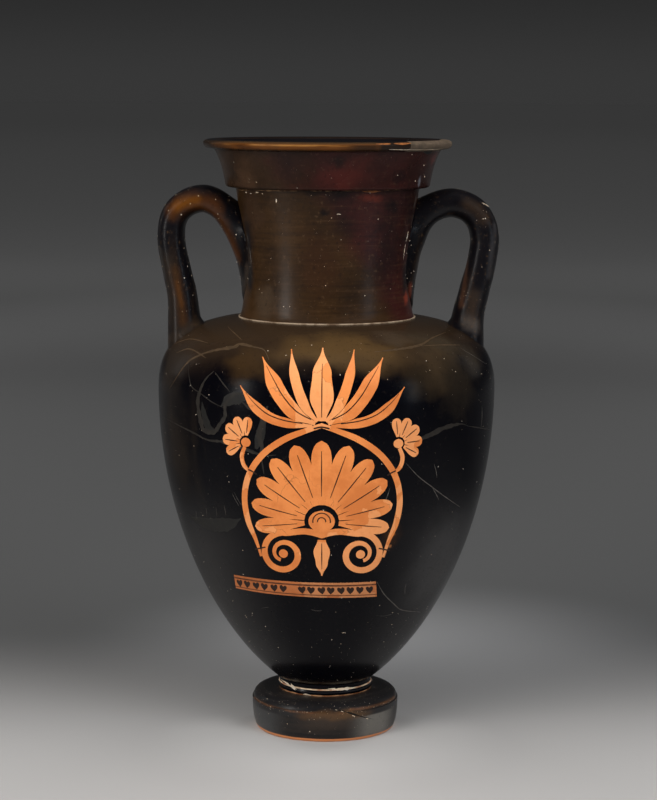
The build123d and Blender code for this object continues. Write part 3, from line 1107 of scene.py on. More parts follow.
footMarks = {
    "gloss": 0.34,
    "patch": (30.0, 5.0),  # scale, detail, roughness and stretch of a noise
    "rings": (420.0, 3.0, 0.6, (0.06, 0.06, 1)),
    "tops": (colour(14, 14, 17), colour(33, 31, 31)),
    "sides": (colour(32, 27, 24), colour(20, 18, 18)),
    "sideTop": (0.0174, 0.0162),
    # right and left: painted reflection of the floor, lighter grey on the foot's sides
    "right": colour(98, 94, 88),
    "paintedReflectionRightTurn": (0.25, 0.7, 0.85, 1.3),
    "left": colour(50, 50, 50),
    "paintedReflectionLeftTurn": (-1.7, -1.2, -0.9, -0.5),
    "bare": colour(196, 124, 76),
    "bareTop": (0.0024, 0.0018),
    "waver": 1.2 * mm,
    "patches": {
        "warmSide": ((328, 716), 16, (92, 62, 30), 0.7, (0.5, 1, 3.4)),
        "warmLow": ((330, 723), 16, (58, 46, 36), 0.5, (0.5, 1, 1.6)),
        "warmSideRight": ((358, 714), 12, (84, 60, 34), 0.6, (0.6, 1, 2.6)),
    },
    "strokes": {
        "edgeLeft": (((254, 697), (259, 701), (268, 705.6), (290, 711.2), (310, 713), (343, 713.4)), 1.25,
            (92, 60, 36), 0.7),
        "edgeRight": (((350, 709.6), (358, 709), (368, 707.6), (385, 702.6), (394.5, 697)), 1.7, (98, 64, 38),
            0.75),
    },
}


def makeFootGloss():
    it = Finish("footGloss")
    patch = cloud(it.place, *footMarks["patch"])
    rings = cloud(it.place, *footMarks["rings"])
    tone = tint(patch, *footMarks["tops"])
    side = fade(it.z, *footMarks["sideTop"])
    tone = tint(side, tone, tint(fade(rings, 0.35, 0.68), *footMarks["sides"]))
    # painted reflection of the floor on the foot's right and left sides
    tone = tint(side * hump(it.angle, *footMarks["paintedReflectionRightTurn"]), tone, footMarks["right"])
    tone = tint(side * hump(it.angle, *footMarks["paintedReflectionLeftTurn"]), tone, footMarks["left"])
    tone = addPatches(it, tone, footMarks["patches"], 0.6)
    tone = addStrokes(it, tone, footMarks["strokes"], 1.0)
    tone = addSpeckle(it, tone, colour(58, 50, 42), tones["black"], 0.35)
    edge = it.z + (patch - 0.5) * footMarks["waver"]
    tone = tint(fade(edge, *footMarks["bareTop"]), tone, footMarks["bare"])
    finishGloss(it, tone, footMarks["gloss"], 0.28)
    return it.material


ringMarks = {
    "gloss": 0.4,
    "patch": (160.0, 4.0),  # scale, detail, roughness and stretch of a noise
    "waver": 0.8 * mm,
    "edge": (1.0 * mm, 0.6 * mm),  # from the ring's upper and lower end in to its black
    "upper": (tones["cream"], colour(150, 108, 84)),
    "lower": (colour(196, 148, 108), colour(142, 90, 56)),
}


def makeRingGloss():
    it = Finish("ringGloss")
    patch = cloud(it.place, *ringMarks["patch"])
    height = it.z + (patch - 0.5) * ringMarks["waver"]
    far, near = ringMarks["edge"]
    upper = fade(height, jar["ringTop"] - far, jar["ringTop"] - near)
    lower = fade(height, jar["footTop"] + far, jar["footTop"] + near)
    tone = tint(upper, tones["black"], tint(fade(patch, 0.4, 0.62), *ringMarks["upper"]))
    tone = tint(lower, tone, tint(fade(patch, 0.4, 0.6), *ringMarks["lower"]))
    finishGloss(it, tone, ringMarks["gloss"])
    return it.material


handleMarks = {
    "gloss": 0.22,
    "patch": (28.0, 5.0),  # scale, detail, roughness and stretch of a noise
    "streaks": (140.0, 3.0, 0.5, (1, 1, 0.1)),
    "blacks": (colour(6, 6, 9), colour(19, 17, 20)),
    "streak": colour(50, 36, 24),
    "streakHeight": (0.345, 0.315),
    "strokes": {
        "leftCrown": (((174, 210), (180, 205), (190, 202), (203, 204), (211, 208)), 11.5, (70, 39, 14), 0.95),
        "leftCrownCore": (((178, 206), (187, 202), (197, 201)), 6.0, (98, 57, 14), 0.8),
        "leftRootBrown": (((210, 206), (220, 220), (228, 236), (236, 254)), 9.0, (66, 38, 20), 1.0),
        "leftRootBlack": (((227, 194), (238, 212), (243, 232), (246, 256)), 8.0, (8, 7, 11), 1.0),
        "leftLegGrey": (((166, 262), (170, 290), (172, 320)), 11.0, (38, 31, 26), 0.85),
        "leftLegBrown": (((175, 270), (178, 290), (184, 323)), 6.0, (56, 35, 18), 0.8),
        "leftLegCore": (((177, 282), (179, 292), (182, 306)), 2.6, (84, 50, 20), 0.4),
        "leftTail": (((247.4, 268), (246.4, 280), (244.8, 291)), 6.0, (50, 43, 38), 0.9),
        "rightTail": (((410.6, 286), (410.2, 292), (409.4, 301)), 4.5, (100, 46, 32), 0.85),
        "leftLegEdge": (((188, 256), (193, 282), (199, 306)), 7.0, (8, 7, 10), 1.0),
        "leftRootLow": (((169, 341), (182, 335), (199, 325)), 10.0, (44, 35, 27), 0.85),
        # the next two strokes are painted highlights along the handles' outer edges
        "leftOuterPaintedHighlight": (((157.5, 226), (160.5, 250), (164.5, 276)), 4.0, (44, 41, 39), 0.8),
        "rightOuterPaintedHighlight": (((494.5, 226), (492.5, 250), (489.5, 276)), 4.0, (48, 46, 47), 0.8),
        "rightArch": (((468, 204), (478, 209), (485, 218)), 8.0, (44, 33, 25), 0.85),
        "rightInner": (((470, 240), (467, 264), (464, 284), (461, 304)), 5.0, (70, 46, 34), 0.8),
        "rightLegBrown": (((475, 296), (473, 308), (471, 322)), 8.0, (46, 37, 31), 0.75),
        "rightRootPale": (((468, 322), (475, 326), (484, 332)), 8.0, (68, 61, 56), 0.8),
    },
}


def makeHandleGloss():
    it = Finish("handleGloss")
    patch = cloud(it.place, *handleMarks["patch"])
    streak = cloud(it.place, *handleMarks["streaks"])
    tone = addStrokes(it, tint(patch, *handleMarks["blacks"]), handleMarks["strokes"])
    streaks = fade(streak, 0.5, 0.72) * fade(it.z, *handleMarks["streakHeight"])
    tone = tint(streaks * 0.35, tone, handleMarks["streak"])
    tone = addSpeckle(it, tone, colour(88, 66, 44), tones["black"], 0.45)
    finishGloss(it, tone, handleMarks["gloss"], 0.27)
    return it.material


clay = {
    "sherds": 30.0,
    "broad": (34.0, 6.0, 0.65),
    "fine": (260.0, 4.0),
    "seam": colour(140, 78, 40),
    "rough": 0.38,
    "gloss": 0.3,
    "bump": 0.15,
}


def makeClay(name, deep, plain, pale):
    it = Finish(name)
    broad = cloud(it.place, *clay["broad"])
    fine = cloud(it.place, *clay["fine"])
    cells = {"Vector": shaken(it, 0.02, 1.6), "Scale": clay["sherds"]}
    sherds = wire(it.tree, "ShaderNodeTexVoronoi", cells, "Color")
    edges = wire(it.tree, "ShaderNodeTexVoronoi", cells, "Distance", feature="DISTANCE_TO_EDGE")
    restored = wire(it.tree, "ShaderNodeSeparateColor", {0: sherds})
    tone = tint(fade(broad, 0.38, 0.62), deep, plain)
    tone = tint(fade(restored, 0.6, 0.66) * 0.55, tone, pale)
    tone = tint(fade(fine, 0.52, 0.75) * 0.3, tone, deep)
    seam = fade(edges, 0.012, 0.004) * fade(broad, 0.5, 0.58)
    it.coat(tint(seam * 0.45, tone, clay["seam"]), clay["rough"] + fine * 0.2, clay["gloss"])
    wheelBump(it, clay["bump"])
    return it.material


def makeSpeckled(name, first, second, rough, scale=320.0, low=0.3, high=0.7):
    it = Finish(name)
    fine = cloud(it.place, scale, 5.0)
    it.coat(tint(fade(fine, low, high), first, second), rough + fine * 0.2, 0.25)
    it.roughen(0.3, 0.2 * mm, fine)
    return it.material


bodyGloss = makeBodyGloss()
handleGloss = makeHandleGloss()
reservedClay = makeClay("reservedClay", colour(206, 117, 57), colour(226, 137, 73), colour(240, 166, 108))
bandClay = makeClay("bandClay", colour(162, 90, 44), colour(182, 107, 60), colour(196, 134, 88))
reliefLine = makeSpeckled("reliefLine", colour(46, 26, 17), colour(32, 20, 15), 0.3)
dilutedLine = makeSpeckled("dilutedLine", colour(112, 62, 34), colour(70, 38, 22), 0.35)
plasterFill = makeSpeckled("plasterFill", colour(96, 82, 68), colour(72, 62, 51), 0.5)
mendTone = makeSpeckled("mendTone", colour(42, 38, 34), colour(34, 31, 28), 0.4)
warmMend = makeSpeckled("warmMend", colour(74, 58, 41), colour(58, 45, 31), 0.4)
dimMend = makeSpeckled("dimMend", colour(31, 30, 28), colour(26, 25, 24), 0.35)
greyLine = makeSpeckled("greyLine", colour(84, 79, 74), colour(62, 58, 54), 0.5)
crackDark = makeSpeckled("crackDark", colour(8, 7, 7), colour(18, 15, 13), 0.5)
paleChip = makeSpeckled("paleChip", tones["pale"], tones["cream"], 0.7)
wornClay = makeSpeckled("wornClay", colour(160, 98, 50), colour(92, 58, 36), 0.5)
stepTone = makeSpeckled("stepTone", colour(158, 124, 88), colour(76, 52, 36), 0.6, 240.0, 0.4, 0.62)
creamLine = makeSpeckled("creamLine", colour(152, 134, 113), colour(92, 74, 57), 0.6, 150.0, 0.42, 0.66)

for node, finish, slotName in (
    ("foot", makeFootGloss(), "black_gloss"),
    ("foot_ring", makeRingGloss(), "black_gloss"),
    ("lower_body", bodyGloss, "black_gloss"),
    ("shoulder", bodyGloss, "black_gloss"),
    ("neck", makeNeckGloss(), "brown_gloss"),
    ("neck_ring", creamLine, "reserved_clay"),
    ("mouth", makeMouthGloss(), "brown_gloss"),
    ("lip_fill", plasterFill, "plaster_fill"),
    ("left_handle", handleGloss, "black_gloss"),
    ("right_handle", handleGloss, "black_gloss"),
):
    settle(solidPieces[node], finish, slotName, node)
print("finishes made")


# Flat shapes that are laid on the curved wall: across, height and lift

fiveAcross = (-1, -0.5, 0, 0.5, 1)  # points across a slab, as shares of its half width


def slabFaces(start, rows, across):
    # faces of a closed slab whose upper points come before its lower ones
    def top(i, k):
        return start + i * across + k

    def under(i, k):
        return top(i, k) + rows * across

    faces = []
    for i in range(rows - 1):
        for k in range(across - 1):
            faces.append((top(i, k), top(i, k + 1), top(i + 1, k + 1), top(i + 1, k)))
            faces.append((under(i, k), under(i + 1, k), under(i + 1, k + 1), under(i, k + 1)))
    border = [(0, k) for k in range(across)] + [(i, across - 1) for i in range(1, rows)]
    border += [(rows - 1, k) for k in range(across - 2, -1, -1)] + [(i, 0) for i in range(rows - 2, 0, -1)]
    for a, b in zip(border, border[1:] + border[:1]):
        faces.append((top(*a), under(*a), under(*b), top(*b)))
    return faces


def flatSlabs(name, patches, lift, sink=0.35 * mm):
    verts, faces = [], []
    for rows in patches:
        faces += slabFaces(len(verts), len(rows), len(rows[0]))
        for level in (lift, -sink):
            verts += [(u, v, level) for row in rows for u, v in row]
    return meshObject(name, verts, faces)


def ribbon(points, widths, count=40):
    # a band along a path, its width eased between the given ones, in millimetres
    path = smoothPath([Vector((u, v, 0)) for u, v in points], count)
    rows = []
    for i, middle in enumerate(path):
        along = (path[min(i + 1, count - 1)] - path[max(i - 1, 0)]).normalized()
        right = Vector((along.y, -along.x, 0))
        half = widthAt(widths, i / (count - 1)) / 2
        rows.append([tuple((middle + right * half * side).xy * mm) for side in fiveAcross])
    return rows


def widthAt(widths, share):
    if not isinstance(widths, tuple):
        return widths
    place = share * (len(widths) - 1)
    index = min(int(place), len(widths) - 2)
    part = place - index
    part = part * part * (3 - 2 * part)
    return widths[index] * (1 - part) + widths[index + 1] * part


def tongue(length, width, waist=0.3, fullAt=0.7, count=24):
    # a petal that stands on its narrow end
    rows = []
    for i in range(count + 1):
        share = i / count
        if share < fullAt:
            half = waist + (1 - waist) * sin(pi / 2 * share / fullAt) ** 1.3
        else:
            half = sqrt(max(0.0008, 1 - ((share - fullAt) / (1 - fullAt)) ** 2))
        rows.append([(side * half * width / 2, share * length) for side in fiveAcross])
    return rows


def moved(rows, u, v):
    return [[(a + u, b + v) for a, b in row] for row in rows]


def mirrored(rows):
    return [[(-a, b) for a, b in reversed(row)] for row in rows]


def bothSides(rows):
    return [rows, mirrored(rows)]


def spiral(centre, outer, inner, start, turns, steps=46):
    points = []
    for i in range(steps + 1):
        share = i / steps
        points.append(stepped(centre, outer + (inner - outer) * share, start - 360 * turns * share))
    return points


# Node trees for ornament and wear

onJar = {"Jar": "Object", "Axis Angle": "Float"}


def wrapNodes(tree, geometry, given):
    # lays flat geometry on the jar: across becomes an angle, up stays up, lift goes along the wall's normal
    across, height, lift = splitXyz(wire(tree, "GeometryNodeInputPosition"))
    wall = wire(tree, "GeometryNodeObjectInfo", {"Object": given["Jar"]}, "Geometry")
    ray = {"Target Geometry": wall, "Ray Length": 1.0}
    front = {"Source Position": joinXyz(0.0, -1.0, height), "Ray Direction": (0, 1, 0)}
    radius = 1.0 - wire(tree, "GeometryNodeRaycast", {**ray, **front}, "Hit Distance")
    angle = across / radius + given["Axis Angle"]
    inward = joinXyz(calc("SINE", angle) * -1.0, calc("COSINE", angle), 0.0)
    outside = vectorCalc("SUBTRACT", joinXyz(0.0, 0.0, height), inward)
    side = {"Source Position": outside, "Ray Direction": inward}
    hit = put(tree, "GeometryNodeRaycast", {**ray, **side}).outputs
    target = vectorCalc("ADD", Wire(hit["Hit Position"]), scaled(Wire(hit["Hit Normal"]), lift))
    return wire(tree, "GeometryNodeSetPosition", {"Geometry": geometry, "Position": target})


def makeWrapTree():
    tree, given = newTree("layOnJar", onJar)
    closeTree(wrapNodes(tree, given["Geometry"], given), given["Material"])
    return tree


def makeFanTree():
    tree, given = newTree("fanOfPetals", {
        **onJar, "Petals": "Int", "Half Spread": "Float", "Turn": "Float", "Shrink": "Float",
        "Heart Radius": "Float", "Centre": "Vector"})
    line = wire(tree, "GeometryNodeMeshLine", {"Count": given["Petals"], "Offset": (0, 0, 0)})
    index = wire(tree, "GeometryNodeInputIndex")
    share = index * 2.0 / (given["Petals"] - 1.0) - 1.0
    angle = share * given["Half Spread"] + given["Turn"]
    size = 1.0 - given["Shrink"] * (share * share)
    way = joinXyz(calc("SINE", angle) * -1.0, calc("COSINE", angle), 0.0)
    spot = vectorCalc("ADD", given["Centre"], scaled(way, given["Heart Radius"]))
    points = wire(tree, "GeometryNodeSetPosition", {"Geometry": line, "Position": spot})
    turn = wire(tree, "FunctionNodeEulerToRotation", {0: joinXyz(0.0, 0.0, angle)})
    fan = wire(tree, "GeometryNodeInstanceOnPoints", {
        "Points": points, "Instance": given["Geometry"], "Rotation": turn, "Scale": joinXyz(size, size, 1.0)})
    flat = wire(tree, "GeometryNodeRealizeInstances", {"Geometry": fan})
    closeTree(wrapNodes(tree, flat, given), given["Material"])
    return tree


def makeRowTree():
    tree, given = newTree("rowOfLeaves", {
        **onJar, "Leaves": "Int", "First": "Vector", "Step": "Vector", "Sway": "Float", "Seed": "Int"})
    values = {"Count": given["Leaves"], "Start Location": given["First"], "Offset": given["Step"]}
    line = wire(tree, "GeometryNodeMeshLine", values)
    sway = wire(tree, "FunctionNodeRandomValue", {2: -1.0, 3: 1.0, "Seed": given["Seed"]}, 1)
    turn = wire(tree, "FunctionNodeEulerToRotation", {0: joinXyz(0.0, 0.0, sway * given["Sway"])})
    values = {"Points": line, "Instance": given["Geometry"], "Rotation": turn}
    row = wire(tree, "GeometryNodeInstanceOnPoints", values)
    flat = wire(tree, "GeometryNodeRealizeInstances", {"Geometry": row})
    closeTree(wrapNodes(tree, flat, given), given["Material"])
    return tree


def makeScatterTree():
    tree, given = newTree("scatteredPits", {
        "Wall": "Object", "Density": "Float", "Seed": "Int", "Low": "Float", "High": "Float",
        "Smallest": "Float", "Largest": "Float"})
    wall = wire(tree, "GeometryNodeObjectInfo", {"Object": given["Wall"]}, "Geometry")
    height = splitXyz(wire(tree, "GeometryNodeInputPosition"))[2]
    inside = calc("GREATER_THAN", height, given["Low"]) * calc("LESS_THAN", height, given["High"])
    spread = put(tree, "GeometryNodeDistributePointsOnFaces", {
        "Mesh": wall, "Selection": inside, "Density": given["Density"], "Seed": given["Seed"]}).outputs
    chance = wire(tree, "FunctionNodeRandomValue", {2: 0.0, 3: 1.0, "Seed": given["Seed"]}, 1)
    size = given["Smallest"] + calc("POWER", chance, 3.0) * (given["Largest"] - given["Smallest"])
    pits = wire(tree, "GeometryNodeInstanceOnPoints", {
        "Points": Wire(spread["Points"]), "Instance": given["Geometry"], "Rotation": Wire(spread["Rotation"]),
        "Scale": joinXyz(size, size, 1.0)})
    closeTree(pits, given["Material"])
    return tree


layOnJar = makeWrapTree()
fanOfPetals = makeFanTree()
rowOfLeaves = makeRowTree()
scatteredPits = makeScatterTree()
outerSkin = turnOnWheel("outerSkin", outline, "bodyGloss", closed=False)


# Leaf band under the ornament

band = {
    "axisAngle": radians(-10.9),
    "left": -48.3,
    "right": 50.4,
    "low": (107.35, -0.018),  # height on the axis and rise towards the right
    "high": (117.85, -0.005),
    "lines": ((0.81, 1.05), (0.15, 0.6)),  # share of the band's height, width
    "leafTop": 0.71,
    "leafSize": (4.9, 5.2),
    "leafNotch": 0.9,  # from the top of the leaf's lobes down to its stalk
    "leafLobes": (-0.15, 0.9, 0.35),  # rise of the top edge at its middle, half way out and at its end
    "leafRows": 10,
    "leftLeaves": (6, -44.2, 6.65),
    "rightLeaves": (8, 1.2, 6.35),
    "sway": 0.16,
    "seed": 4,
    "lift": 0.07 * mm,
}


def lay(name, patches, lift, tree, axisAngle, finish, slotName, values=None):
    # flat shapes that a node tree lays on the jar's outside
    piece = flatSlabs(name, patches, lift)
    common = {"Jar": outerSkin, "Axis Angle": axisAngle, "Material": finish}
    settle(grow(piece, tree, {**common, **(values or {})}), finish, slotName)


def bandHeight(u, share):
    low = band["low"][0] + band["low"][1] * u
    high = band["high"][0] + band["high"][1] * u
    return low + (high - low) * share


def bandStrip(low, high, trim=0.0, count=60):
    # a stretch between two shares of the band's height, moved in by trim at its upper and lower edge
    rows = []
    for i in range(count + 1):
        u = band["left"] + (band["right"] - band["left"]) * i / count
        top, bottom = bandHeight(u, high) - trim, bandHeight(u, low) + trim
        rows.append([(u * mm, (top + (bottom - top) * k / 2) * mm) for k in range(3)])
    return rows


def heartLeaf():
    wide, tall = band["leafSize"]
    rows = []
    for i in range(band["leafRows"] + 1):
        share = i / band["leafRows"]
        half = wide / 2 * sin(pi * (0.02 + 0.6 * share)) ** 1.2
        row = []
        for side in fiveAcross:
            lobe = band["leafLobes"][int(2 * abs(side))] * share * share
            row.append((side * half * mm, (-tall + (tall - band["leafNotch"]) * share + lobe) * mm))
        rows.append(row)
    return rows


def makeBand():
    turn, lift, top = band["axisAngle"], band["lift"], band["leafTop"]
    lay("leafBand", [bandStrip(0.0, 1.0)], lift, layOnJar, turn, bandClay, "reserved_clay")
    lines = [bandStrip(middle, middle, -wide / 2) for middle, wide in band["lines"]]
    lay("leafBandLines", lines, lift * 2, layOnJar, turn, dilutedLine, "black_gloss")
    rise = bandHeight(1.0, top) - bandHeight(0.0, top)
    for name in ("leftLeaves", "rightLeaves"):
        count, first, step = band[name]
        values = {
            "Leaves": count, "First": (first * mm, bandHeight(first, top) * mm, 0),
            "Step": (step * mm, step * rise * mm, 0), "Sway": band["sway"], "Seed": band["seed"]}
        lay(name, [heartLeaf()], lift * 2, rowOfLeaves, turn, reliefLine, "black_gloss", values)


makeBand()
print("leaf band made")


# Palmette and lotus over the band

tendrilWidth = 4.2
reliefWidth = 0.7
ornament = {
    "axisAngle": radians(-1.5),
    "base": 120.5,
    "lift": 0.07 * mm,
    "palmette": {"centre": (0, 40), "heart": 11.0, "length": 42.0, "width": 13.0, "petals": 11,
        "spread": 97.0, "shrink": 0.2, "turn": 0.0},
    "sidePalmette": {"centre": (50, 90), "heart": 4.4, "length": 13.5, "width": 7.4, "petals": 5,
        "spread": 62.0, "shrink": 0.1, "turn": -56.0},
    "fans": (("palmette", "palmette", 0), ("leftPalmette", "sidePalmette", -1),
        ("rightPalmette", "sidePalmette", 1)),
    "volute": {"centre": (25, 17), "outer": 15.0, "inner": 4.8, "start": 112.0, "turns": 1.5},
    "voluteLead": ((-0.6, 30.4), (6, 32.4), (12.5, 33.0)),
    "voluteWidths": (tendrilWidth, tendrilWidth, tendrilWidth, 2.4),
    "voluteSteps": 150,
    "eye": (3.0, 3.0),
    "heart": (8.4, 7.2),
    "sideHeart": (3.4, 3.0),
    "tendrils": {  # path, widths, steps along it, and whether it is mirrored
        "embrace": (((40.4, 14), (44, 25), (49.4, 38), (51.6, 53), (48.2, 68.5), (38.5, 82.5), (24.5, 93),
            (10, 99.3), (-0.6, 103)), (1.8, tendrilWidth, tendrilWidth, tendrilWidth, 3.0), 110, True),
        "shoot": (((47.0, 70.5), (51.6, 75), (53, 81), (50.8, 87)), (1.4, 3.0, 3.0, 2.6), 40, True),
    },
    "leaves": {
        "drop": (((0, 27.4), (0, 20), (0, 12), (0, 2.4)), (5.2, 10.6, 7.6, 0.8), 30, False),
        "bud": (((0, 105.6), (0, 118), (0, 133), (0, 150)), (5.4, 15.0, 12.0, 0.8), 40, False),
        "inner": (((2.6, 105.4), (9.5, 113), (14.6, 124), (18, 136), (20, 149)), (2.2, 6.6, 6.2, 0.6), 40,
            True),
        "middle": (((4, 104), (16, 109.8), (25, 119.5), (32, 131), (39, 144)), (2.6, 10.0, 10.4, 0.6), 44,
            True),
        "outer": (((6, 102.4), (19, 103.4), (33, 106.8), (44.5, 114.6), (54, 126)), (1.8, 6.4, 7.4, 0.6), 44,
            True),
    },
    "heartLines": ((5.6, 18, 30), (2.6, 12, 20)),  # radius, steps of the arc and of the line
    "lines": {
        "bud": (((0, 108), (0, 122), (0, 141)), (0.5, reliefWidth, 0.3), 24, False),
        "middle": (((6.6, 106.6), (16, 111.6), (24.4, 120.6), (31, 131), (36, 139)),
            (reliefWidth, reliefWidth, 0.3), 40, True),
        "outer": (((12, 104), (24, 105.6), (35, 109.2), (44, 115.8), (50, 122)),
            (reliefWidth, reliefWidth, 0.3), 40, True),
        "topTie": (((-5, 100.8), (0, 101.8), (5, 100.8)), 1.0, 16, False),
        "sideTie": (((42.6, 69.6), (45.4, 71.2), (48.4, 72.4)), 0.9, 12, True),
        "lowTie": (((37.2, 20.6), (40.8, 19.6), (44.8, 18.4)), 0.9, 12, True),
        "drop": (((0, 25), (0, 16), (0, 7)), (0.4, reliefWidth, 0.3), 20, False),
    },
}


def disc(centre, size):
    rows = []
    for i in range(17):
        share = -1 + 2 * i / 16
        half = size[0] * sqrt(max(0.004, 1 - share * share))
        height = (centre[1] + share * size[1]) * mm
        rows.append([((centre[0] + side * half) * mm, height) for side in fiveAcross])
    return rows


def ribbons(table):
    shapes = []
    for points, widths, steps, paired in table.values():
        rows = ribbon(points, widths, steps)
        shapes += bothSides(rows) if paired else [rows]
    return shapes


def ornamentShapes():
    volute = ornament["volute"]
    path = list(ornament["voluteLead"]) + spiral(**volute)[1:]
    shapes = bothSides(ribbon(path, ornament["voluteWidths"], ornament["voluteSteps"]))
    shapes += bothSides(disc(volute["centre"], ornament["eye"]))
    shapes += ribbons(ornament["tendrils"])
    shapes.append(disc(ornament["palmette"]["centre"], ornament["heart"]))
    shapes += bothSides(disc(ornament["sidePalmette"]["centre"], ornament["sideHeart"]))
    return shapes + ribbons(ornament["leaves"])


def reliefShapes():
    heart = ornament["palmette"]["centre"]
    lines = []
    for radius, arcSteps, steps in ornament["heartLines"]:
        lines.append(ribbon(arc(heart, radius, 190, -10, arcSteps), reliefWidth, steps))
    return lines + ribbons(ornament["lines"])


def raisedTo(patches, height):
    return [moved(rows, 0, height * mm) for rows in patches]


def makeFan(name, sizes, side, rows, lift, finish, slotName):
    across, up = sizes["centre"]
    values = {
        "Petals": sizes["petals"], "Half Spread": radians(sizes["spread"]),
        "Turn": radians(side * sizes["turn"]), "Shrink": sizes["shrink"], "Heart Radius": sizes["heart"] * mm,
        "Centre": (side * across * mm, (up + ornament["base"]) * mm, 0)}
    lay(name, [rows], lift, fanOfPetals, ornament["axisAngle"], finish, slotName, values)


def petalRib(sizes):
    long = sizes["length"]
    return ribbon([(0, long * 0.14), (0, long * 0.5), (0, long * 0.84)], (0.4, reliefWidth, 0.4), 16)


def makeOrnament():
    turn, lift = ornament["axisAngle"], ornament["lift"]
    scrolls = raisedTo(ornamentShapes(), ornament["base"])
    lay("ornamentScrolls", scrolls, lift, layOnJar, turn, reservedClay, "reserved_clay")
    strokes = raisedTo(reliefShapes(), ornament["base"])
    lay("ornamentLines", strokes, lift * 2, layOnJar, turn, reliefLine, "black_gloss")
    for name, kind, side in ornament["fans"]:
        sizes = ornament[kind]
        rows = tongue(sizes["length"] * mm, sizes["width"] * mm)
        makeFan(name + "Petals", sizes, side, rows, lift, reservedClay, "reserved_clay")
        makeFan(name + "Ribs", sizes, side, petalRib(sizes), lift * 2, reliefLine, "black_gloss")


makeOrnament()
print("ornament made")


# Mends, cracks and chips, and a painted highlight on the neck, placed by the pixel where the photograph shows
# them

strip = {"pixels": 1.3, "grain": 420.0, "tip": 0.25, "taper": 3.0, "sink": 0.3 * mm}


def surfaceStrip(verts, faces, pixels, widths, lift, uneven):
    # a thin layer along a line of pixels, on whatever surface the camera sees there
    path = [Vector((x, y, 0)) for x, y in pixels]
    length = sum((b - a).length for a, b in zip(path, path[1:]))
    count = max(5, int(length / strip["pixels"]))
    middles = []
    for pixel in smoothPath(path, count):
        spot, normal = surfaceTree.ray_cast(cameraSpot, sightLine(pixel))[:2]
        if spot is not None:
            middles.append((spot, normal))
    count = len(middles)
    faces += slabFaces(len(verts), count, len(fiveAcross))
    upper, under = [], []
    for i, (spot, normal) in enumerate(middles):
        along = (middles[min(i + 1, count - 1)][0] - middles[max(i - 1, 0)][0]).normalized()
        right = along.cross(normal).normalized()
        ragged = 1 + uneven * noise.noise(spot * strip["grain"])
        ends = min(1.0, strip["tip"] + strip["taper"] * min(i, count - 1 - i) / (count - 1))
        half = widthAt(widths, i / (count - 1)) / 2 * mm * ragged * ends
        for side in fiveAcross:
            near, way = surfaceTree.find_nearest(spot + right * half * side)[:2]
            upper.append(near + way * lift)
            under.append(near - way * strip["sink"])
    verts += upper + under


def makeStrips(name, lines, lift, finish, slotName, uneven):
    verts, faces = [], []
    for pixels, widths in lines.values():
        surfaceStrip(verts, faces, pixels, widths, lift, uneven)
    settle(meshObject(name, verts, faces), finish, slotName)


bodyMends = {
    "thinLeft": (((188, 363), (189, 376), (192, 387), (200, 393), (212, 402), (224, 408)), 0.7),
    "loop": (((214, 371), (205, 380), (199, 394), (198, 406), (201, 422), (204, 430), (214, 432), (220, 424),
        (225, 416), (225, 406), (230, 398), (236, 394), (246, 395)),
        (1.8, 2.6, 3.0, 3.4, 4.2, 3.0, 2.6, 2.4, 2.6, 2.0)),
    "loopSpoke": (((215, 372), (222, 382), (230, 392)), 0.8),
    "loopTail": (((242, 402), (252, 410), (262, 413), (268, 410)), 1.8),
    "innerWedge": (((268, 406), (263, 422), (259, 434), (262, 448), (260, 454), (250, 450)),
        (2.0, 3.2, 3.6, 3.0, 1.4)),
    "longLeft": (((165, 418), (180, 426), (194, 433), (208, 440), (224, 442), (242, 448), (262, 455),
        (276, 455)), (0.8, 1.0, 1.2, 2.4, 2.6, 1.4)),
    "shortDrop": (((261, 456), (264, 474)), 1.0),
    "bandRight": (((408, 446), (416, 441), (432, 434), (444, 428), (460, 424), (468, 426)),
        (1.2, 2.2, 3.0, 3.4, 2.6, 1.0)),
    "bandRightTail": (((468, 426), (480, 428), (492, 430)), 0.7),
    "leftRootFill": (((250, 262), (251, 274), (251, 285)), 1.6),
}
shoulderMends = {
    "neckLine": (((228, 326), (230, 329), (242, 340)), 0.7),
    "shoulderArc": (((170, 388), (186, 364), (200, 355), (216, 350), (234, 347), (240, 344), (254, 347),
        (264, 350), (269, 360)), (0.9, 1.2, 1.5, 1.5, 2.0, 3.2, 2.4, 1.4, 0.8)),
    "rootArcHigh": (((174, 344), (190, 339), (208, 343)), 0.9),
    "rootArcLow": (((176, 353), (190, 349), (206, 358)), 0.9),
    "shoulderRight": (((374, 352), (400, 349), (420, 345), (432, 338), (446, 332)),
        (0.8, 1.5, 1.8, 1.4, 0.8)),
    "shoulderRightLow": (((420, 346), (440, 345), (460, 345)), 0.8),
}
broadMends = {
    "lens": (((189, 514), (195, 519), (206, 523.6), (219, 525), (231, 523.4), (241, 518.6)),
        (2.4, 6.4, 9.0, 9.6, 8.4, 3.0)),
    "loopFill": (((202, 402), (204, 414), (208, 426), (215, 430)), (2.5, 4.5, 6.5, 3.5)),
    "knot": (((221, 406), (229, 400), (237, 398), (247, 400)), (3.5, 7.5, 8.5, 3.0)),
    "lipPatch": (((424, 151.8), (428, 152.6), (432, 152)), (1.6, 2.8, 1.4)),
    "wedge": (((267, 406), (263, 422), (260, 436), (256, 449)), (3.0, 4.5, 6.5, 7.0)),
}
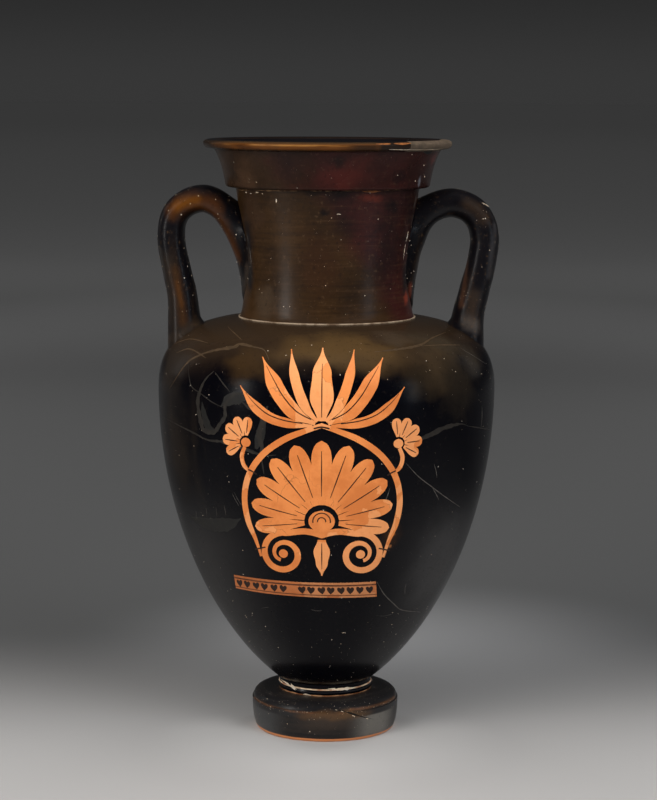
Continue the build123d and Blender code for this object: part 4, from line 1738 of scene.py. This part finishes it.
hairCracks = {
    "shoulderScratch": (((460, 348), (472, 355), (486, 364)), 0.28),
    "shortRight": (((482, 406), (482, 417), (481, 428)), 0.5),
    "crackRight": (((406, 463), (418, 476), (432, 487), (444, 496), (460, 507)), 0.6),
    "crackBranch": (((432, 487), (436, 494), (439, 500)), 0.5),
    "scratchA": (((434, 464), (436, 471), (437, 478)), 0.4),
    "scratchB": (((390, 488), (387, 497), (383, 506)), 0.4),
    "crackLow": (((377, 582), (384, 594), (394, 604), (402, 610), (420, 612)), 0.6),
    "scratchC": (((406, 584), (405, 589), (405, 594)), 0.4),
    "lowScuffA": (((311, 609.4), (316, 610.8), (322, 610.4)), 0.25),
    "lowScuffB": (((376, 615.4), (384, 616), (392, 614)), 0.2),
    "lowScuffC": (((261, 608.4), (264, 607.8), (269, 607.2)), 0.2),
    "scratchD": (((232, 493), (235, 499), (239, 506)), 0.3),
    "scratchE": (((234, 492), (238, 500), (242, 506)), 0.25),
    "scratchF": (((224, 505), (225, 510), (226, 515)), 0.3),
    "scratchG": (((241, 503), (243, 506), (246, 508)), 0.25),
    "scratchH": (((206, 508), (206.6, 513), (207, 517)), 0.25),
    "scratchI": (((216, 507), (216.4, 512), (217, 517)), 0.2),
    # the next strip is a painted highlight on the neck's right edge under the mouth
    "rightNeckPaintedHighlight": (((416.6, 192.6), (415.4, 200), (413.4, 211)), (1.6, 1.4, 0.6)),
    "rightRootCrackA": (((414.4, 211), (412.4, 219), (410.4, 226)), 0.4),
    "leftRootCrackA": (((246.8, 233), (247.8, 239), (248.6, 244)), 0.5),
    "leftRootCrackB": (((249.2, 247), (250.2, 253), (251, 260), (251.2, 267)), (0.7, 1.2, 1.0, 0.6)),
    "lipTick": (((440, 150.8), (439.8, 153), (439.6, 155)), 0.45),
    "scratchJ": (((196, 511), (196.4, 515), (196.6, 519)), 0.25),
}
darkCracks = {
    "footCrack": (((327, 707.4), (336, 709.4), (345, 711.6), (355, 714.6), (364, 717.2), (374, 719.2)),
        (0.3, 0.6, 0.9, 0.9, 0.6, 0.3)),
    "leafRest": (((294.4, 586.6), (296.4, 587.0), (298.6, 588.0)), (1.4, 1.7, 0.8)),
}
paleLines = {
    "rightRootCrackB": (((408.4, 231), (407.4, 236), (406.2, 241)), 0.8),
    "rightRootCrackC": (((405.6, 244), (404.4, 251), (403.4, 259)), 0.45),
    "crumbA": (((245.6, 192.4), (246.2, 192.4), (246.8, 192.6)), 0.7),
    "crumbB": (((250.2, 193.2), (250.8, 193.4), (251.4, 193.2)), 0.6),
    "crumbC": (((255.6, 192.2), (257.0, 192.4), (258.4, 192.3)), 0.5),
    "crumbD": (((262.0, 193.6), (262.4, 193.8), (262.8, 193.6)), 0.6),
    "neckDrop": (((276.2, 198.6), (276.4, 200.6), (276.1, 202.8)), (0.5, 0.9, 0.5)),
    "neckDash": (((336.8, 214.2), (338.8, 214.1), (340.8, 214.4)), 0.45),
    "mouthDotA": (((423.5, 165.3), (424, 165.3), (424.5, 165.3)), 0.8),
    "mouthDotB": (((424.1, 176.6), (424.5, 176.6), (424.9, 176.6)), 0.7),
    "mouthDotC": (((414.9, 181), (415.3, 181), (415.7, 181)), 0.7),
    "mouthDotD": (((411.4, 154.5), (412, 154.5), (412.6, 154.5)), 0.6),
    "lipBreak": (((389, 149.4), (405, 149.8), (425, 149.8), (443, 148.8)), 0.6),
    "footPlasterA": (((334, 689.4), (338, 689.6), (342, 689.2)), 1.1),
    "footPlasterB": (((346, 688.6), (350, 688.4), (354, 687.6)), 0.9),
    "footStreak": (((281, 679.4), (286, 682.6), (291, 686), (297, 689.4)), (0.6, 1.0, 1.2, 0.6)),
    "footBreakA": (((335, 709.6), (336.2, 709.9), (337.4, 710.2)), 0.3),
    "footBreakB": (((341, 711.0), (342.2, 711.4), (343.4, 711.8)), 0.35),
    "footBreakC": (((352, 715.4), (353.2, 715.8), (354.4, 716.1)), 0.35),
    "footBreakD": (((366, 718.2), (367.2, 718.5), (368.4, 718.8)), 0.35),
    "footUnderChip": (((303, 694.6), (306, 695.2), (311, 695.6)), 2.2),
    "ringDrop": (((291, 683.6), (292.6, 686.6), (295.4, 690)), (1.0, 1.6, 1.2)),
    "ringBlob": (((328, 688.6), (338, 689.2), (345, 688.8), (354, 687.4)), (0.8, 1.4, 2.0, 0.8)),
    "lowDot": (((331.4, 639.8), (331.8, 639.8), (332.2, 639.8)), 0.7),
    "lowSmudge": (((342, 633), (344, 632.6), (346, 632.8)), 0.25),
    "rightDot": (((392.2, 612.6), (392.6, 612.6), (393, 612.6)), 0.6),
    "leftDot": (((265, 626.4), (265.4, 626.4), (265.8, 626.4)), 0.5),
    "rightHandleMend": (((482, 203), (486, 205), (490, 208)), 0.5),
}
wornLines = {
    "lipSpotA": (((376, 144.0), (383, 144.0), (391, 143.8)), 1.3),
    "lipSpotB": (((394, 143.6), (403, 143.6), (411, 143.2)), 2.0),
    "stepWear": (((362, 191.4), (370, 191.6), (381, 191.2)), (0.5, 1.3, 0.6)),
}
stepLines = {
    "stepA": (((237, 189.8), (244, 190.1), (250, 190.3)), 0.35),
    "stepB": (((254, 190.3), (278, 190.8), (303, 191.0)), 0.5),
    "stepC": (((310, 191.0), (316, 191.0), (322, 191.0)), 0.4),
    "stepD": (((325, 191.0), (329, 191.0), (332, 191.0)), 0.55),
    "stepE": (((343, 191.0), (352, 191.0), (360, 190.9)), 0.35),
    "stepF": (((384, 190.4), (394, 190.0), (400, 189.9)), 0.3),
}
stripGroups = {  # lines, lift, finish, slot and unevenness
    "stepLines": (stepLines, 0.06 * mm, stepTone, "reserved_clay", 1.1),
    "bodyMends": (bodyMends, 0.045 * mm, mendTone, "plaster_fill", 0.5),
    "shoulderMends": (shoulderMends, 0.045 * mm, warmMend, "plaster_fill", 0.5),
    "broadMends": (broadMends, 0.035 * mm, dimMend, "plaster_fill", 0.15),
    "darkCracks": (darkCracks, 0.05 * mm, crackDark, "black_gloss", 0.5),
    "wornLines": (wornLines, 0.05 * mm, wornClay, "reserved_clay", 0.5),
    "hairCracks": (hairCracks, 0.04 * mm, greyLine, "plaster_fill", 0.5),
    "paleLines": (paleLines, 0.06 * mm, paleChip, "plaster_fill", 0.5),
}
for name, group in stripGroups.items():
    makeStrips(name, *group)

pits = {
    "radius": 1.0 * mm,
    "reach": 0.75,  # mean reach of a corner, as a share of the radius
    "ragged": 0.5,
    "grain": 1.7,
    "lift": 0.05 * mm,
    "sink": 0.3 * mm,
    "corners": 7,
    "sharp": 80.0,
}


def makePits(name, wall, density, seed, low, high, smallest, largest):
    # one flat irregular chip, scattered over the outside of a piece
    corners = pits["corners"]
    rim = []
    for i in range(corners):
        angle = 2 * pi * i / corners
        uneven = pits["ragged"] * noise.noise(Vector((i * pits["grain"], 3.1, 0.4)))
        reach = pits["radius"] * (pits["reach"] + uneven)
        rim.append((reach * cos(angle), reach * sin(angle), 0))
    verts = rim + [(0, 0, pits["lift"]), (0, 0, -pits["sink"])]
    faces = []
    for i in range(corners):
        j = (i + 1) % corners
        faces += [(i, j, corners), (j, i, corners + 1)]
    chip = meshObject(name, verts, faces, pits["sharp"])
    values = {
        "Wall": wall, "Material": paleChip, "Density": density, "Seed": seed, "Low": low, "High": high,
        "Smallest": smallest, "Largest": largest}
    settle(grow(chip, scatteredPits, values), paleChip, "plaster_fill")


pitGroups = {  # piece, number to the square metre, seed, lowest and highest place, smallest and largest size
    "bodyPits": (outerSkin, 6000.0, 7, 0.036, 0.277, 0.08, 0.48),
    "lowDust": (outerSkin, 9000.0, 23, 0.036, 0.085, 0.12, 0.32),
    "footDust": (solidPieces["foot"], 60000.0, 29, 0.0185, 0.0275, 0.16, 0.36),
    "neckPits": (solidPieces["neck"], 9000.0, 3, 0.284, 0.367, 0.08, 0.45),
    "mouthPits": (solidPieces["mouth"], 7000.0, 5, 0.369, 0.393, 0.08, 0.45),
    "leftHandlePits": (solidPieces["left_handle"], 14000.0, 11, 0.283, 0.372, 0.08, 0.60),
    "rightHandlePits": (solidPieces["right_handle"], 18000.0, 13, 0.283, 0.372, 0.08, 0.60),
    "footPits": (solidPieces["foot"], 22000.0, 17, 0.004, 0.0268, 0.08, 0.45),
}
for name, group in pitGroups.items():
    makePits(name, *group)
discard(outerSkin)
print("mends made")


# Stage and light

stageSetup = {
    "reach": 80.0,
    "paleGrey": (0.412, 0.400, 0.391, 1),
    "midGrey": (0.081, 0.081, 0.081, 1),
    "farGrey": (0.44, 0.44, 0.44, 1),
    "turn": (-0.22, 0.285),  # painted light falloff: where the floor turns from pale in front to mid grey behind
    "midReach": (0.40, 1.25),  # how far out the floor turns to each grey; the turn to mid grey is painted falloff
    "farReach": (1.93, 4.35),
    "rimGrey": (0.37, 0.37, 0.37, 1),
    "rimReach": (6.0, 30.0),
    # painted pool of light on the floor behind the jar, in the next four entries
    "paintedPoolPlace": (0.05, 0.225, 0.0),
    "paintedPoolReach": (0.27, 0.0),
    "paintedPoolShare": 0.84,
    "paintedPoolGrey": (0.236, 0.236, 0.238, 1),
    # painted light on the floor in front of the foot, lightening its shadow, in the next four entries
    "paintedFrontLightPlace": (0.0, -0.05, 0.0),
    "paintedFrontLightReach": (0.13, 0.045),
    "paintedFrontLightEnd": (0.03, -0.02),
    "paintedFrontLightGrey": (0.425, 0.413, 0.404, 1),
}


def makeStage():
    reach = stageSetup["reach"]
    corners = [(-reach, -reach, 0), (reach, -reach, 0), (reach, reach, 0), (-reach, reach, 0)]
    floor = meshObject("studioFloor", corners, [(0, 1, 2, 3)])
    it = Finish("floorPaper")
    # painted light falloff: pale floor in front, mid grey behind
    tone = tint(fade(it.y, *stageSetup["turn"]), stageSetup["paleGrey"], stageSetup["midGrey"])
    # painted pool of light behind the jar
    paintedPool = vectorCalc("DISTANCE", it.place, stageSetup["paintedPoolPlace"])
    tone = tint(fade(paintedPool, *stageSetup["paintedPoolReach"]) * stageSetup["paintedPoolShare"], tone, stageSetup["paintedPoolGrey"])
    # painted light in front of the foot, lightening its shadow
    front = vectorCalc("DISTANCE", it.place, stageSetup["paintedFrontLightPlace"])
    front = fade(front, *stageSetup["paintedFrontLightReach"]) * fade(it.y, *stageSetup["paintedFrontLightEnd"])
    tone = tint(front, tone, stageSetup["paintedFrontLightGrey"])
    # further out: painted falloff to mid grey, then lighter greys far out
    for zone in ("mid", "far", "rim"):
        tone = tint(fade(it.radius, *stageSetup[zone + "Reach"]), tone, stageSetup[zone + "Grey"])
    it.coat(tone, 0.9, 0.1)
    floor.data.materials.append(it.material)


def addLamp(name, place, aim, size, power, tone, mirrored):
    data = bpy.data.lights.new(name, "AREA")
    data.shape = "RECTANGLE"
    data.size, data.size_y = size
    data.energy = power
    data.color = tone
    lamp = addPiece(name, data)
    lamp.location = place
    lamp.rotation_euler = (Vector(aim) - Vector(place)).to_track_quat("-Z", "Y").to_euler()
    lamp.visible_glossy = mirrored
    lamp.visible_camera = False


worldSetup = {"light": 0.10, "horizon": 0.0375, "zenith": 0.023, "climb": 0.05}


def makeWorld():
    # soft light from all round, in front of a darker grey that the camera and the gloss see
    world = bpy.data.worlds.new("studio")
    world.use_nodes = True
    tree = world.node_tree
    rays = put(tree, "ShaderNodeLightPath").outputs
    seen = calc("MAXIMUM", Wire(rays["Is Camera Ray"]), Wire(rays["Is Glossy Ray"]))
    light, horizon, zenith = ((worldSetup[name],) * 3 + (1,) for name in ("light", "horizon", "zenith"))
    up = splitXyz(wire(tree, "ShaderNodeTexCoord", output="Generated"))[2]
    backdrop = tint(fade(up, 0.0, worldSetup["climb"]), horizon, zenith)
    feed(tree.nodes["Background"].inputs["Color"], tint(seen, light, backdrop))
    bpy.context.scene.world = world


lamps = {  # place, aim, size, power, colour, and whether the gloss mirrors it
    "leftFill": ((-1.5, -1.9, 1.3), (0, 0, 0.2), (1.2, 1.2), 37, (1.0, 0.98, 0.95), False),
    "rightFill": ((1.5, -1.9, 1.3), (0, 0, 0.2), (1.2, 1.2), 32, (0.97, 0.98, 1.0), False),
    "topFill": ((0, -0.75, 1.9), (0, 0, 0.1), (2.4, 1.2), 24, (1, 1, 1), False),
    "backLeftFill": ((-1.6, 1.8, 1.2), (0, 0, 0.25), (1.2, 1.2), 24, (1, 1, 1), False),
    "backRightFill": ((1.6, 1.8, 1.2), (0, 0, 0.25), (1.2, 1.2), 24, (1, 1, 1), False),
    "leftStrip": ((-1.9, -1.2, 0.55), (0, 0, 0.3), (0.26, 1.0), 7.6, (1.0, 0.97, 0.93), True),
    "rightStrip": ((1.9, -1.2, 0.55), (0, 0, 0.3), (0.22, 1.0), 2.6, (0.72, 0.86, 1.0), True),
    "backLeftStrip": ((-1.9, 1.2, 0.9), (0, 0, 0.3), (0.6, 1.0), 0.6, (1, 1, 1), True),
    "backRightStrip": ((1.9, 1.2, 0.9), (0, 0, 0.3), (0.6, 1.0), 0.45, (1, 1, 1), True),
    "topGlow": ((0, -0.1, 2.0), (0, 0, 0), (2.4, 1.4), 1.1, (1, 1, 1), True),
}


def lightStage():
    for name, setup in lamps.items():
        addLamp(name, *setup)
    bpy.context.scene.view_settings.view_transform = "Standard"


makeWorld()
makeStage()
lightStage()
print("stage lit")
